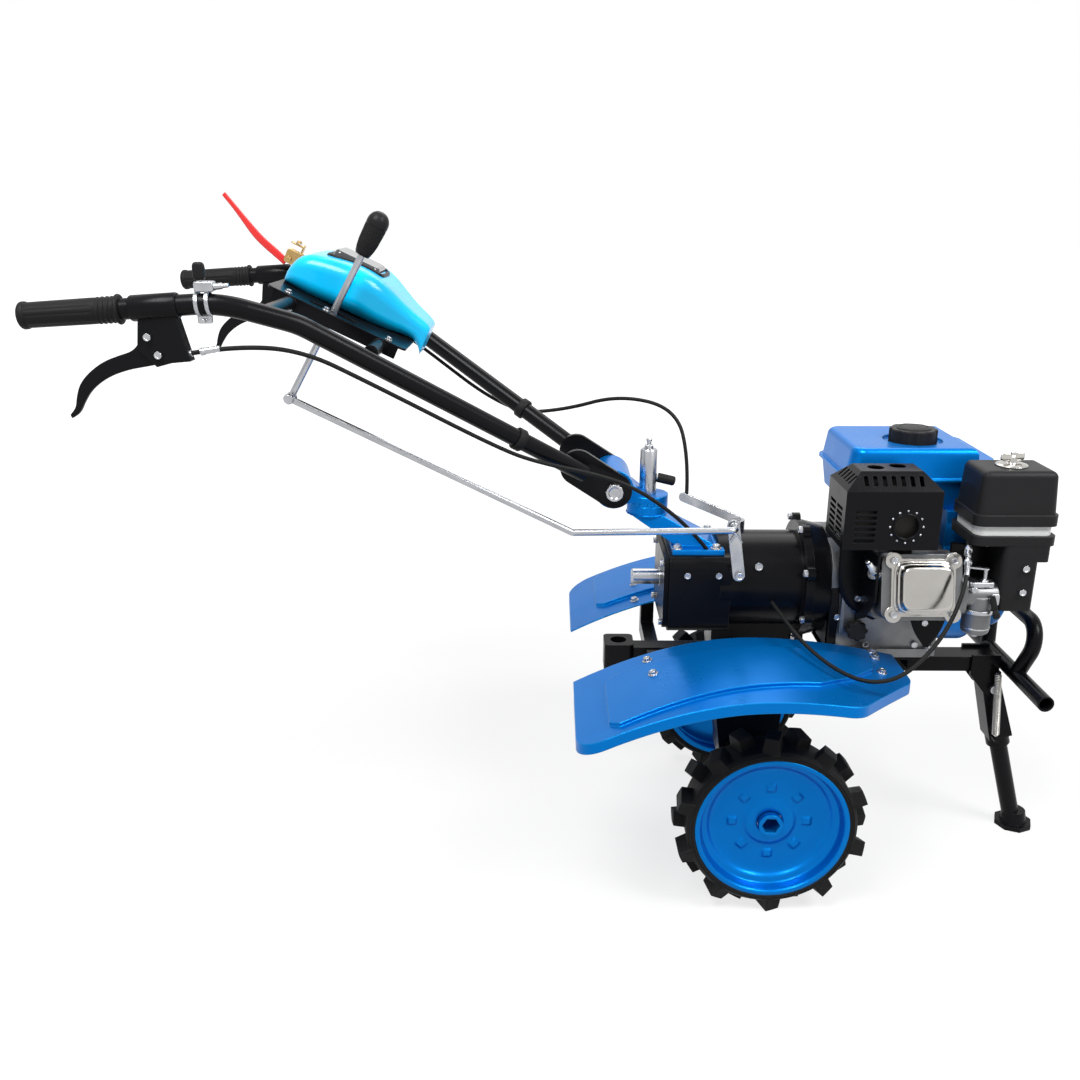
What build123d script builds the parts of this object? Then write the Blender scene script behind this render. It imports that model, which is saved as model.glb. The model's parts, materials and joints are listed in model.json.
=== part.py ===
"""Walk-behind power weeder: engine, gearbox, two lugged wheels, fenders, front stand and handlebars.

Frame: +X forward, +Y to the machine's left, +Z up, in millimetres. The origin lies on the floor
below the middle of the machine's length. The wheels and the foot of the front stand rest on z = 0.
Places along the machine are given ahead of the axle and turned into the frame by from_axle.
"""

import os
from math import atan2, cos, degrees, hypot, radians, sin, sqrt

from build123d import *

os.makedirs("parts", exist_ok=True)

# General clearances
seat_gap = 0.3          # between pieces that are bolted or slid together
running_gap = 0.3       # around turning shafts

# Wheels and axle
axle_x = 245.0          # axle line ahead of the middle of the machine
lug_radius = 144.0      # to the lugs' tips, so also the axle's height
tyre_radius = 127.0
rim_radius = 115.0      # where the tyre sits on the rim
tyre_width = 60.0
tyre_shoulder = 5.0
wheel_y = 213.0         # middle of a wheel from the machine's middle plane
lug_count = 10          # in each of a tyre's two rows
lug_width = 26.0
lug_slant = 20.0        # degrees that a lug leans along the tread
lug_root = 4.0          # of a lug that sinks into the tread
lug_overlap = 5.0       # of a lug past the tread's middle
rim_wall = 3.0
rim_lip = 7.0           # rolled outer edge
rim_step = 9.0          # pressed step inside the rolled edge
disc_depth = 26.0       # of the wheel's disc behind its outer edge
disc_wall = 4.0
hub_radius = 18.0
hub_length = 126.0      # of the hub tube that slides over the axle
hub_nose = 10.0         # that the hub stands out of the disc
boss_radius = 36.0      # pressed ring round the hub
boss_height = 6.0
emboss_count = 8
emboss_circle = 56.0
emboss_size = 15.0
emboss_height = 4.0
hex_flats = 23.0        # six-sided axle
axle_length = 380.0
journal_radius = 16.0

axle_z = lug_radius
hex_corner = hex_flats / sqrt(3)

# Gearbox
crank_z = 455.0         # engine's crank line and gearbox's shaft line
housing_radius = 76.0
housing_front = 60.0
housing_rear = -147.0
deck_front = -52.0      # front end of the flat deck that carries the handle neck
deck_rise = 56.0        # of the deck above the crank line
deck_drop = 68.0        # of the rear box below the crank line
deck_width = 150.0
deck_fillet = 16.0
flange_radius = 93.0
flange_thickness = 12.0
flange_ears = 8
flange_ear_radius = 11.0
leg_width = 70.0        # of the gear leg, across the machine
leg_front = 56.0
leg_rear = -72.0
leg_waist = 40.0        # below the housing, where the leg starts to narrow
leg_sink = 30.0         # of the leg into the housing
axle_boss_radius = 46.0
axle_boss_width = 96.0
cover_thickness = 8.0
cover_margin = 5.0
pto_radius = 12.5
pto_journal = 15.0
pto_length = 45.0       # that the rear shaft stands out of its cover
pto_inside = 60.0
pto_chamfer = 2.5

deck_z = crank_z + deck_rise
deck_bottom = crank_z - deck_drop

# Engine
bell_length = 28.0
bell_nose_radius = 86.0
crankcase_length = 170.0
crankcase_right = -82.0
crankcase_left = 92.0
crankcase_height = 176.0
crankcase_fillet = 40.0
base_drop = 101.0       # engine's base below the crank line
base_thickness = 14.0
base_spread = 6.0       # that the engine's feet stand out to each side
base_inset = 10.0
cylinder_tilt = 15.0
cylinder_reach = 170.0  # from the crank line to the head's end
cylinder_start = 40.0
fin_count = 5
fin_thickness = 4.0
fin_pitch = 9.0
fin_width = 122.0
fin_height = 104.0
fin_corner = 14.0
fin_fan_gap = 2.0
barrel_radius = 42.0
head_width = 116.0
head_height = 96.0
head_length = 34.0
valve_cover_width = 92.0
valve_cover_height = 84.0
valve_cover_depth = 28.0
valve_flange = 7.0
valve_step = 13.0
valve_rim = 9.0
valve_ear_radius = 12.0
valve_ear_inset = 3.0
shroud_sheet = 3.0
shroud_gap = 3.0        # between the cylinder's fins and the shroud beside them
shroud_reach = 84.0
shroud_drop = 40.0

base_z = crank_z - base_drop
crankcase_top = base_z + crankcase_height
bell_front = housing_front + flange_thickness + bell_length
crankcase_front = bell_front + crankcase_length
cylinder_x = crankcase_front - fin_fan_gap - fin_width / 2
head_side = cylinder_x + head_width / 2

# Fan housing and recoil starter at the engine's front
fan_length = 60.0
fan_radius = 98.0
fan_neck_width = 130.0  # of the housing's shoulder below the tank
fan_fillet = 12.0
recoil_length = 48.0
recoil_radius = 84.0
recoil_taper = 10.0
recoil_fillet = 8.0
recoil_slots = 10
recoil_slot_circle = 56.0
recoil_slot_depth = 6.0
recoil_grip_length = 60.0
recoil_grip_radius = 8.0

# Fuel tank
tank_ahead = 18.0       # of the tank's rear end ahead of the crankcase's rear face
tank_length = 226.0
tank_width = 190.0
tank_y = 33.0
tank_post_height = 55.0
tank_lower = 47.0       # from the tank's floor to its seam
tank_upper = 46.0       # from the seam to its top
tank_taper = 9.0
tank_fillet = 20.0
tank_corner = 28.0
tank_step_length = 34.0     # lower shoulder at the tank's front
tank_step_drop = 18.0
seam_flange = 5.0
seam_thickness = 4.0
cap_from_rear = 114.0
cap_from_middle = -20.0
cap_radius = 36.0
cap_height = 22.0
cap_recess = 4.0
cap_recess_gap = 9.0
cap_scallops = 10
cap_scallop_radius = 9.0
post_length = 24.0
post_width = 60.0
post_inset = 40.0

tank_rear = bell_front + tank_ahead
tank_front = tank_rear + tank_length
tank_bottom = crankcase_top + tank_post_height
tank_seam = tank_bottom + tank_lower
tank_top = tank_seam + tank_upper
tank_right = tank_y - tank_width / 2

# Muffler and its guard
guard_tank_gap = 9.0
guard_depth = 94.0
guard_length = 136.0
guard_behind = 54.0     # of the guard's rear face behind the head's middle line, past half its length
guard_head_gap = 12.0
guard_height = 110.0
guard_wall = 2.5
guard_chamfer = 24.0
guard_slot = 5.0
guard_slot_pitch = 8.5
guard_slot_drop = 30.0      # from the chamfer to the first slot
guard_slot_rows = 6
guard_slot_length = 30.0
guard_vent = 6.0
guard_vent_pitch = 13.0
guard_vent_count = 7
outlet_radius = 17.0
muffler_gap = 9.0
muffler_floor = 4.0
muffler_corner = 12.0
muffler_boss = 6.0
muffler_boss_reach = 40.0
muffler_pipe_radius = 14.0

head_lift = sin(radians(cylinder_tilt)) * cylinder_reach
head_top = crank_z + head_lift + cos(radians(cylinder_tilt)) * head_height / 2
guard_left = tank_right - guard_tank_gap - seam_flange
guard_right = guard_left - guard_depth
guard_bottom = head_top + guard_head_gap
guard_top = guard_bottom + guard_height
guard_rear = cylinder_x - guard_length / 2 - guard_behind
guard_front = guard_rear + guard_length

# Carburettor and air cleaner
carb_reach = 158.0      # from the crank line along the cylinder
carb_drop = 12.0        # below the cylinder's middle line
carb_length = 53.0
carb_radius = 17.0
carb_flange = 25.0
carb_flange_thickness = 8.0
bowl_from_head = 31.0
bowl_radius = 20.0
bowl_height = 42.0
bowl_fillet = 6.0
elbow_length = 51.0
elbow_width = 62.0
elbow_drop = 20.0       # of the intake box below the carburettor's middle line
elbow_rise = 79.0
elbow_head = 15.0       # of the intake box's wider top ahead of its front face
elbow_head_height = 24.0
elbow_inset = 16.0      # of the intake box toward the middle, from the carburettor
tray_height = 14.0
band_height = 15.0
band_inset = 5.0
cleaner_length = 120.0
cleaner_overhang = 22.0     # of the cleaner ahead of the intake box
cleaner_width = 96.0
cleaner_height = 78.0
cleaner_tank_gap = 10.0
cleaner_corner = 14.0
cleaner_taper = 4.0
cleaner_fillet = 10.0
cleaner_rim = 2.0
cleaner_rim_height = 16.0

carb_y = -carb_reach * cos(radians(cylinder_tilt))
carb_z = crank_z + carb_reach * sin(radians(cylinder_tilt)) - carb_drop
elbow_rear = head_side + carb_length
elbow_front = elbow_rear + elbow_length
elbow_y = carb_y + elbow_inset
tray_bottom = carb_z + elbow_rise
cleaner_bottom = tray_bottom + tray_height + band_height
cleaner_left = tank_right - cleaner_tank_gap

# Front frame and stand
beam_height = 25.0
beam_width = 40.0
beam_drop = 30.0        # of the beam's top below the engine's base
beam_front = 402.0
riser_thickness = 10.0
riser_half_width = 70.0
riser_inset = 30.0
mount_plate = 8.0       # engine's mounting plate on the risers
mount_half_width = 80.0
mount_inset = 8.0
crossbar_radius = 12.5
crossbar_wall = 2.5
crossbar_half = 163.0
hoop_radius = 12.0
hoop_foot_y = 58.0
hoop_top_y = 96.0
hoop_rise = 90.0
hoop_forward = 14.0
hoop_bend = 34.0
stand_back = 6.0            # of the stand's pivot behind the beam's front end
stand_pivot_drop = 52.0     # pivot bolt below the beam's top
stand_lean = 16.2           # degrees that the parked leg leans forward
stand_plate = 5.0
stand_plate_rear = 40.0
stand_plate_skirt = 16.0
stand_eye_radius = 15.0
stand_tube_radius = 14.0
pin_radius = 6.0
collar_run = 100.0          # from the pivot down to the spring's collar
collar_radius = 19.0
collar_height = 18.0
spring_radius = 6.0
spring_gap = 3.0
foot_radius = 31.0
foot_thickness = 8.0
foot_cup = 20.0
foot_cup_radius = 22.0

beam_top = base_z - beam_drop
beam_bottom = beam_top - beam_height
stand_x = beam_front - stand_back

# Rear hitch
hitch_x = -218.0
hitch_size = 48.0
hitch_corner = 8.0
hitch_bottom = 298.0
hitch_height = 46.0
hitch_bore = 13.0
hitch_arm_width = 30.0
hitch_arm_height = 30.0

# Fenders
fender_inner = 101.0
fender_outer = 320.0
fender_sheet = 2.5
fender_rear = -294.0
fender_front = 197.0
fender_lip = 14.0
fender_lip_start = 40.0     # from the inner edge to where the turned-down edge begins
fender_corner = 40.0
band_rise = 6.0             # of the pressed band above the sheet
band_inner = 46.0           # from the fender's inner edge
band_outer = 20.0           # from its outer edge, at the rear
band_rear = 46.0            # from its rear edge
strap_width = 30.0
post_size = 22.0
rear_strap_x = -162.0
rear_strap_height = 26.0
front_strap_x = 160.0
front_strap_reach = 50.0

# Handle neck and tilt head
neck_base_rear = -142.0
neck_base_front = -62.0
neck_base_thickness = 8.0
neck_base_width = 120.0
neck_width = 76.0
neck_foot_rear = -134.0
neck_foot_front = -72.0
neck_top_length = 48.0
neck_top_width = 54.0
swivel_x = -178.0
swivel_rise = 68.0      # of the joint between the toothed discs above the deck
swivel_radius = 32.0
toothed_height = 15.0
tooth_count = 16
tooth_height = 5.0
tooth_gap = 0.2
tilt_behind = 56.0      # of the tilt bolt behind the swivel line
tilt_rise = 34.0        # of the tilt bolt above the joint between the discs
tilt_barrel_radius = 30.0
tilt_barrel_width = 100.0
tilt_bolt_radius = 8.0
clamp_radius = 11.0
clamp_height = 78.0
clamp_nose = 20.0
clamp_bar_radius = 7.0
clamp_bar_length = 42.0
clamp_bar_rise = 44.0

swivel_z = deck_z + swivel_rise
tilt_x = swivel_x - tilt_behind
tilt_z = swivel_z + tilt_rise

# Handlebars, as points ahead of the axle, to the left and up
handle_radius = 13.0
handle_wall = 2.5
handle_start = (-280.0, 69.0, 643.0)
handle_bend_low = (-650.0, 250.0, 883.0)
handle_bend_high = (-736.0, 288.0, 913.0)
handle_end = (-962.0, 296.0, 899.0)
handle_bend_radius = 120.0
end_plate = 9.0
end_plate_radius = 27.0
end_plate_reach = 66.0
grip_radius = 17.0
grip_length = 124.0
grip_cap = 16.0         # of the grip behind the tube's end
brace_radius = 10.0

# Control plate, console and shift lever
plate_rear_x = -716.0
plate_front_x = -532.0
plate_rear_z = 921.0
plate_front_z = 833.0
plate_half_width = 138.0
plate_sheet = 3.0
plate_flange = 16.0
plate_corner = 10.0
lever_slot_length = 70.0
lever_slot_width = 16.0
lever_y = -112.0
lever_radius = 5.0
lever_top = (-572.0, 990.0)
lever_low = (-700.0, 765.0)
knob_radius = 15.5
knob_neck_radius = 11.0
knob_length = 64.0
knob_socket = 34.0
window_length = 84.0
window_width = 86.0
window_back = -18.0
window_foot = 40.0
window_rise = 34.0

# Shift linkage on the gearbox
rod_radius = 5.0
rod_gap = 0.5           # between the rod's hook and the gearbox's arm
rod_hook = 9.0
rod_bend = (-298.0, 567.0)
arm_pivot = (-46.0, 493.0)
arm_top = (-58.0, 571.0)
arm_width = 18.0
arm_thickness = 6.0
arm_y = -98.0
clutch_pivot = (-32.0, 20.0, 545.0)
clutch_tip = (-119.0, 20.0, 582.0)
clutch_boss = 13.0
clutch_width = 14.0
clutch_thickness = 6.0
cable_radius = 3.0


def from_axle(x):
    """A distance ahead of the axle as a place in the machine's frame."""
    return axle_x + x


def at(point):
    """A point given ahead of the axle as a point in the machine's frame."""
    return (from_axle(point[0]), point[1], point[2])


def sweep_round(points, radius, bend, bore=0.0):
    """A round bar or, with a bore, a tube along straight runs joined by arcs."""
    with BuildPart() as bar:
        with BuildLine() as path:
            if len(points) == 2:
                Line(*points)
            else:
                FilletPolyline(*points, radius=bend)
        with BuildSketch(Plane(path.line @ 0, z_dir=path.line % 0)):
            Circle(radius)
            if bore:
                Circle(bore, mode=Mode.SUBTRACT)
        sweep()
    return bar.part


def round_bar(start, end, radius):
    """A straight round bar between two points."""
    return sweep_round([start, end], radius, 0)


def cross_bar(x, z, radius, half_length):
    """A round bar across the machine, the same to both sides."""
    return round_bar((x, -half_length, z), (x, half_length, z), radius)


def box_between(low, high):
    """A box from its lowest to its highest corner, as a part of its own."""
    with BuildPart() as box:
        with Locations(tuple((low[i] + high[i]) / 2 for i in range(3))):
            Box(*[high[i] - low[i] for i in range(3)])
    return box.part


def upright_plate(outline, y_low, thickness):
    """A plate with an outline in x and z, from y_low to the left by its thickness."""
    with BuildPart() as plate:
        with BuildSketch(Plane.XZ.offset(-y_low)):
            with BuildLine():
                Polyline(*outline, close=True)
            make_face()
        extrude(amount=-thickness)
    return plate.part


def common(first, second):
    """What two parts share."""
    with BuildPart() as shared:
        add(first)
        add(second, mode=Mode.INTERSECT)
    return shared.part


def cut(first, *others):
    """The first part without what the others fill."""
    with BuildPart() as rest:
        add(first)
        for other in others:
            add(other, mode=Mode.SUBTRACT)
    return rest.part


def flipped(part):
    """The part's mirror image on the machine's other side."""
    return mirror(part, about=Plane.XZ)


pieces = {}

# Tyre: rubber ring with two staggered rows of slanted lugs
lug_length = tyre_width / 2 + lug_overlap
lug_rows = [
    # side of the tread, phase in steps of the pitch
    (-1, 0.0),
    (1, 0.5),
]
with BuildPart() as straight_lug:
    with BuildSketch(Plane.XY.offset(tyre_radius - lug_root)):
        with Locations((0, lug_length / 2 - lug_overlap)):
            Rectangle(lug_width, lug_length)
    extrude(amount=lug_radius - tyre_radius + 2 * lug_root, taper=6)
slanted_lug = straight_lug.part.rotate(Axis.Z, lug_slant)
with BuildPart() as tread_limit:
    with BuildSketch(Plane.XZ.offset(-tyre_width / 2)):
        Circle(lug_radius)
    extrude(amount=tyre_width)
with BuildPart() as tyre:
    with BuildSketch(Plane.YZ):
        with BuildLine():
            Polyline(
                (-tyre_width / 2, rim_radius + seat_gap),
                (tyre_width / 2, rim_radius + seat_gap),
                (tyre_width / 2, tyre_radius - tyre_shoulder),
                (tyre_width / 2 - tyre_shoulder, tyre_radius),
                (tyre_shoulder - tyre_width / 2, tyre_radius),
                (-tyre_width / 2, tyre_radius - tyre_shoulder),
                close=True,
            )
        make_face()
    revolve(axis=Axis.Y)
    for side, phase in lug_rows:
        row_lug = common(slanted_lug if side > 0 else flipped(slanted_lug), tread_limit.part)
        turns = [360 / lug_count * (i + phase) for i in range(lug_count)]
        with Locations(*[Location((0, 0, 0), (0, 180 + turn, 0)) for turn in turns]):
            add(row_lug)

# Wheel: rolled rim, stepped and dished disc with pressed pads, and a hub tube with a six-sided bore
half_width = tyre_width / 2
disc_y = disc_depth - half_width
step_radius = rim_radius - rim_wall - rim_lip
dish_radius = step_radius - rim_step
with BuildPart() as wheel:
    with BuildSketch(Plane.YZ):
        with BuildLine():
            Polyline(
                (-half_width, rim_radius),
                (half_width, rim_radius),
                (half_width, step_radius),
                (half_width - rim_wall, step_radius),
                (half_width - rim_wall, rim_radius - rim_wall),
                (disc_y + disc_wall, rim_radius - rim_wall),
                (disc_y + disc_wall, hub_radius + seat_gap),
                (disc_y, hub_radius + seat_gap),
                (disc_y, dish_radius - rim_step),
                (disc_y - rim_step, dish_radius),
                (disc_y - rim_step, step_radius - rim_wall),
                (rim_wall - half_width, step_radius),
                (-half_width, step_radius + rim_wall),
                close=True,
            )
        make_face()
    revolve(axis=Axis.Y)
    with BuildSketch(Plane.XZ.offset(-disc_y)):
        Circle(boss_radius)
        Circle(hub_radius + seat_gap, mode=Mode.SUBTRACT)
    extrude(amount=boss_height)
    with BuildSketch(Plane.XZ.offset(-disc_y)):
        with PolarLocations(emboss_circle, emboss_count):
            Rectangle(emboss_size, emboss_size)
    extrude(amount=emboss_height, taper=25)
with BuildPart() as hub:
    with BuildSketch(Plane.XZ.offset(hub_nose - disc_y + boss_height)):
        Circle(hub_radius)
        RegularPolygon(hex_corner + seat_gap, 6, mode=Mode.SUBTRACT)
    extrude(amount=-hub_length)
wheel_place = Location((axle_x, -wheel_y, axle_z))
pieces["wheel_right"] = wheel_place * wheel.part
pieces["tyre_right"] = wheel_place * tyre.part
pieces["wheel_left"] = flipped(pieces["wheel_right"])
pieces["tyre_left"] = flipped(pieces["tyre_right"])
hub_right = wheel_place * hub.part
pieces["wheel_hubs"] = Compound([hub_right.solid(), flipped(hub_right).solid()])

# Axle: six-sided bar with a round journal in the gear leg
with BuildPart() as axle:
    with BuildSketch(Plane.XZ.offset(-axle_length / 2)):
        with Locations((axle_x, axle_z)):
            RegularPolygon(hex_corner, 6)
    extrude(amount=axle_length)
    with BuildSketch(Plane.XZ.offset(-axle_boss_width / 2)):
        with Locations((axle_x, axle_z)):
            Circle(journal_radius)
    extrude(amount=axle_boss_width)
pieces["axle"] = axle.part

# Gearbox case: round clutch housing, flat-topped rear box and the leg down to the axle
leg_top = crank_z - housing_radius + leg_sink
leg_narrow = crank_z - housing_radius - leg_waist
with BuildPart() as gearbox_case:
    with BuildSketch(Plane.YZ.offset(from_axle(deck_front) - deck_fillet)):
        with Locations((0, crank_z)):
            Circle(housing_radius)
    extrude(amount=housing_front - deck_front + deck_fillet)
    with BuildSketch(Plane.YZ.offset(from_axle(housing_front))):
        with Locations((0, crank_z)):
            Circle(flange_radius)
            with PolarLocations(flange_radius, flange_ears, start_angle=180 / flange_ears):
                Circle(flange_ear_radius)
    extrude(amount=flange_thickness)
    with BuildSketch(Plane.YZ.offset(from_axle(housing_rear))):
        with Locations((0, (deck_z + deck_bottom) / 2)):
            RectangleRounded(deck_width, deck_z - deck_bottom, deck_fillet)
    extrude(amount=deck_front - housing_rear)
    add(
        upright_plate(
            [
                (from_axle(leg_rear), leg_top),
                (from_axle(leg_rear), leg_narrow),
                (axle_x - axle_boss_radius, axle_z),
                (axle_x + axle_boss_radius, axle_z),
                (from_axle(leg_front), leg_narrow),
                (from_axle(leg_front), leg_top),
            ],
            -leg_width / 2,
            leg_width,
        )
    )
    add(cross_bar(axle_x, axle_z, axle_boss_radius, axle_boss_width / 2))
    add(cross_bar(axle_x, axle_z, journal_radius + running_gap, axle_boss_width / 2), mode=Mode.SUBTRACT)
    with BuildSketch(Plane.YZ.offset(from_axle(housing_rear))):
        with Locations((0, crank_z)):
            Circle(pto_journal + running_gap)
    extrude(amount=pto_inside, mode=Mode.SUBTRACT)
pieces["gearbox_case"] = gearbox_case.part

# Rear cover of the gearbox, with the shaft's bore
with BuildPart() as gearbox_cover:
    with BuildSketch(Plane.YZ.offset(from_axle(housing_rear) - cover_thickness)):
        with Locations((0, (deck_z + deck_bottom) / 2)):
            RectangleRounded(
                deck_width - 2 * cover_margin,
                deck_z - deck_bottom - 2 * cover_margin,
                deck_fillet - cover_margin,
            )
        with Locations((0, crank_z)):
            Circle(pto_journal + running_gap, mode=Mode.SUBTRACT)
    extrude(amount=cover_thickness)
pieces["gearbox_cover"] = gearbox_cover.part

# Rear power shaft: wider journal inside, plain end outside
cover_face = from_axle(housing_rear) - cover_thickness
with BuildPart() as pto_shaft:
    with BuildSketch(Plane.YZ.offset(cover_face - pto_length)):
        with Locations((0, crank_z)):
            Circle(pto_radius)
    extrude(amount=pto_length)
    chamfer(pto_shaft.faces().sort_by(Axis.X)[0].edges(), pto_chamfer)
    with BuildSketch(Plane.YZ.offset(cover_face)):
        with Locations((0, crank_z)):
            Circle(pto_journal)
    extrude(amount=cover_thickness + pto_inside - seat_gap)
pieces["pto_shaft"] = pto_shaft.part

# Bell between gearbox flange and engine
with BuildPart() as clutch_bell:
    with BuildSketch(Plane.YZ.offset(from_axle(housing_front + flange_thickness))):
        with Locations((0, crank_z)):
            Circle(flange_radius)
    with BuildSketch(Plane.YZ.offset(from_axle(bell_front))):
        with Locations((0, crank_z)):
            Circle(bell_nose_radius)
    loft()
pieces["clutch_bell"] = clutch_bell.part

# Engine crankcase, one solid block with feet
crankcase_middle = (from_axle(bell_front + crankcase_length / 2), (crankcase_left + crankcase_right) / 2)
crankcase_width = crankcase_left - crankcase_right
with BuildPart() as crankcase:
    with BuildSketch(Plane.XY.offset(base_z)):
        with Locations(crankcase_middle):
            Rectangle(crankcase_length, crankcase_width)
    extrude(amount=crankcase_height)
    fillet(crankcase.edges().filter_by(Axis.X).group_by(Axis.Z)[-1], crankcase_fillet)
    with BuildSketch(Plane.XY.offset(base_z)):
        with Locations(crankcase_middle):
            Rectangle(crankcase_length - 2 * base_inset, crankcase_width + 2 * base_spread)
    extrude(amount=base_thickness)
pieces["crankcase"] = crankcase.part

# Finned cylinder and head, leaning up to the right
cylinder_plane = Plane(
    origin=(from_axle(cylinder_x), 0, crank_z),
    x_dir=(1, 0, 0),
    z_dir=(0, -cos(radians(cylinder_tilt)), sin(radians(cylinder_tilt))),
)
with BuildPart() as cylinder_head:
    with BuildSketch(cylinder_plane.offset(cylinder_start)):
        Circle(barrel_radius)
    extrude(amount=cylinder_reach - cylinder_start)
    for i in range(fin_count):
        with BuildSketch(cylinder_plane.offset(cylinder_reach - head_length - fin_pitch * (i + 1))):
            RectangleRounded(fin_width, fin_height, fin_corner)
        extrude(amount=fin_thickness)
    with BuildSketch(cylinder_plane.offset(cylinder_reach - head_length)):
        RectangleRounded(head_width, head_height, fin_corner)
    extrude(amount=head_length)
    split(bisect_by=Plane.XZ.offset(-crankcase_right), keep=Keep.TOP)
pieces["cylinder_head"] = cylinder_head.part

# Pressed shroud beside the cylinder
shroud_x = from_axle(cylinder_x - fin_width / 2 - shroud_gap - shroud_sheet)
with BuildPart() as cylinder_shroud:
    with BuildSketch(Plane.YZ.offset(shroud_x)):
        with BuildLine():
            Polyline(
                (crankcase_right, crank_z - shroud_drop),
                (crankcase_right, guard_bottom - guard_head_gap),
                (crankcase_right - shroud_reach, guard_bottom - guard_head_gap),
                (crankcase_right - shroud_reach, crank_z + shroud_drop / 2),
                (crankcase_right - shroud_reach / 2, crank_z - shroud_drop / 2),
                close=True,
            )
        make_face()
    extrude(amount=shroud_sheet)

# Valve cover: flange with four ears and a dome in two tapers
ear_x = valve_cover_width / 2 - valve_ear_inset
ear_y = valve_cover_height / 2 - valve_ear_inset
with BuildPart() as valve_cover:
    with BuildSketch(cylinder_plane.offset(cylinder_reach)):
        RectangleRounded(valve_cover_width, valve_cover_height, valve_ear_radius)
        with Locations((ear_x, ear_y), (-ear_x, ear_y), (ear_x, -ear_y), (-ear_x, -ear_y)):
            Circle(valve_ear_radius)
    extrude(amount=valve_flange)
    with BuildSketch(cylinder_plane.offset(cylinder_reach + valve_flange)):
        RectangleRounded(valve_cover_width - valve_rim, valve_cover_height - valve_rim, 2 * valve_rim)
    extrude(amount=valve_step - valve_flange, taper=18)
    with BuildSketch(cylinder_plane.offset(cylinder_reach + valve_step)):
        RectangleRounded(valve_cover_width - 3 * valve_rim, valve_cover_height - 3 * valve_rim, 2 * valve_rim)
    extrude(amount=valve_cover_depth - valve_step, taper=24)
pieces["valve_cover"] = valve_cover.part

# Fan housing with its shoulder below the tank, and the recoil starter with its cooling slots
with BuildPart() as fan_housing:
    with BuildSketch(Plane.YZ.offset(from_axle(crankcase_front))):
        with Locations((0, crank_z)):
            Circle(fan_radius)
        with Locations((0, (crank_z + tank_bottom - seat_gap) / 2)):
            Rectangle(fan_neck_width, tank_bottom - seat_gap - crank_z)
    extrude(amount=fan_length)
    fillet(fan_housing.faces().sort_by(Axis.X)[-1].edges(), fan_fillet)
recoil_rear = from_axle(crankcase_front + fan_length)
with BuildPart() as recoil_starter:
    with BuildSketch(Plane.YZ.offset(recoil_rear)):
        with Locations((0, crank_z)):
            Circle(recoil_radius)
    extrude(amount=recoil_length, taper=recoil_taper)
    fillet(recoil_starter.faces().sort_by(Axis.X)[-1].edges(), recoil_fillet)
    with BuildSketch(Plane.YZ.offset(recoil_rear + recoil_length)):
        with Locations((0, crank_z)):
            with PolarLocations(recoil_slot_circle, recoil_slots):
                SlotOverall(recoil_radius / 3, recoil_slot_depth)
    extrude(amount=-recoil_slot_depth, mode=Mode.SUBTRACT)
    grip_y = recoil_radius - recoil_grip_radius
    add(
        round_bar(
            (recoil_rear + recoil_length / 2, grip_y, crank_z - recoil_grip_length / 2),
            (recoil_rear + recoil_length / 2, grip_y, crank_z + recoil_grip_length / 2),
            recoil_grip_radius,
        )
    )
pieces["fan_housing"] = fan_housing.part
pieces["recoil_starter"] = recoil_starter.part

# Fuel tank in two pressed halves with a seam flange and a lower front shoulder, and its cap
tank_middle = (from_axle(tank_rear + tank_length / 2), tank_y)
cap_middle = (from_axle(tank_rear + cap_from_rear), tank_y + cap_from_middle)
with BuildPart() as fuel_tank:
    with BuildSketch(Plane.XY.offset(tank_seam)):
        with Locations(tank_middle):
            RectangleRounded(tank_length, tank_width, tank_corner)
    extrude(amount=tank_upper, taper=tank_taper)
    step_box = box_between(
        (from_axle(tank_front - tank_step_length), tank_y - tank_width, tank_top - tank_step_drop),
        (from_axle(tank_front) + tank_step_length, tank_y + tank_width, tank_top + tank_step_drop),
    )
    add(step_box, mode=Mode.SUBTRACT)
    fillet(fuel_tank.edges().filter_by(lambda e: e.center().Z > tank_top - 0.01), tank_fillet / 2)
    with BuildSketch(Plane.XY.offset(tank_top - cap_recess)):
        with Locations(cap_middle):
            Circle(cap_radius + cap_recess_gap)
    extrude(amount=tank_upper, mode=Mode.SUBTRACT)
    with BuildSketch(Plane.XY.offset(tank_seam)):
        with Locations(tank_middle):
            RectangleRounded(tank_length, tank_width, tank_corner)
    extrude(amount=-tank_lower, taper=tank_taper)
    with BuildSketch(Plane.XY.offset(tank_seam - seam_thickness / 2)):
        with Locations(tank_middle):
            RectangleRounded(
                tank_length + 2 * seam_flange,
                tank_width + 2 * seam_flange,
                tank_corner + seam_flange,
            )
    extrude(amount=seam_thickness)
pieces["fuel_tank"] = fuel_tank.part
with BuildPart() as fuel_cap:
    with BuildSketch(Plane.XY.offset(tank_top - cap_recess)):
        with Locations(cap_middle):
            Circle(cap_radius)
            with PolarLocations(cap_radius + cap_scallop_radius * 0.7, cap_scallops):
                Circle(cap_scallop_radius, mode=Mode.SUBTRACT)
    extrude(amount=cap_height)
    chamfer(fuel_cap.faces().sort_by(Axis.Z)[-1].edges(), 1.5)
pieces["fuel_cap"] = fuel_cap.part
with BuildPart() as tank_posts:
    with BuildSketch(Plane.XY.offset(crankcase_top)):
        with Locations(
            (from_axle(bell_front + post_inset), tank_y), (from_axle(crankcase_front - post_inset), tank_y)
        ):
            Rectangle(post_length, post_width)
    extrude(amount=tank_post_height)
pieces["engine_brackets"] = Compound([*tank_posts.part.solids(), cylinder_shroud.part.solid()])

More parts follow.
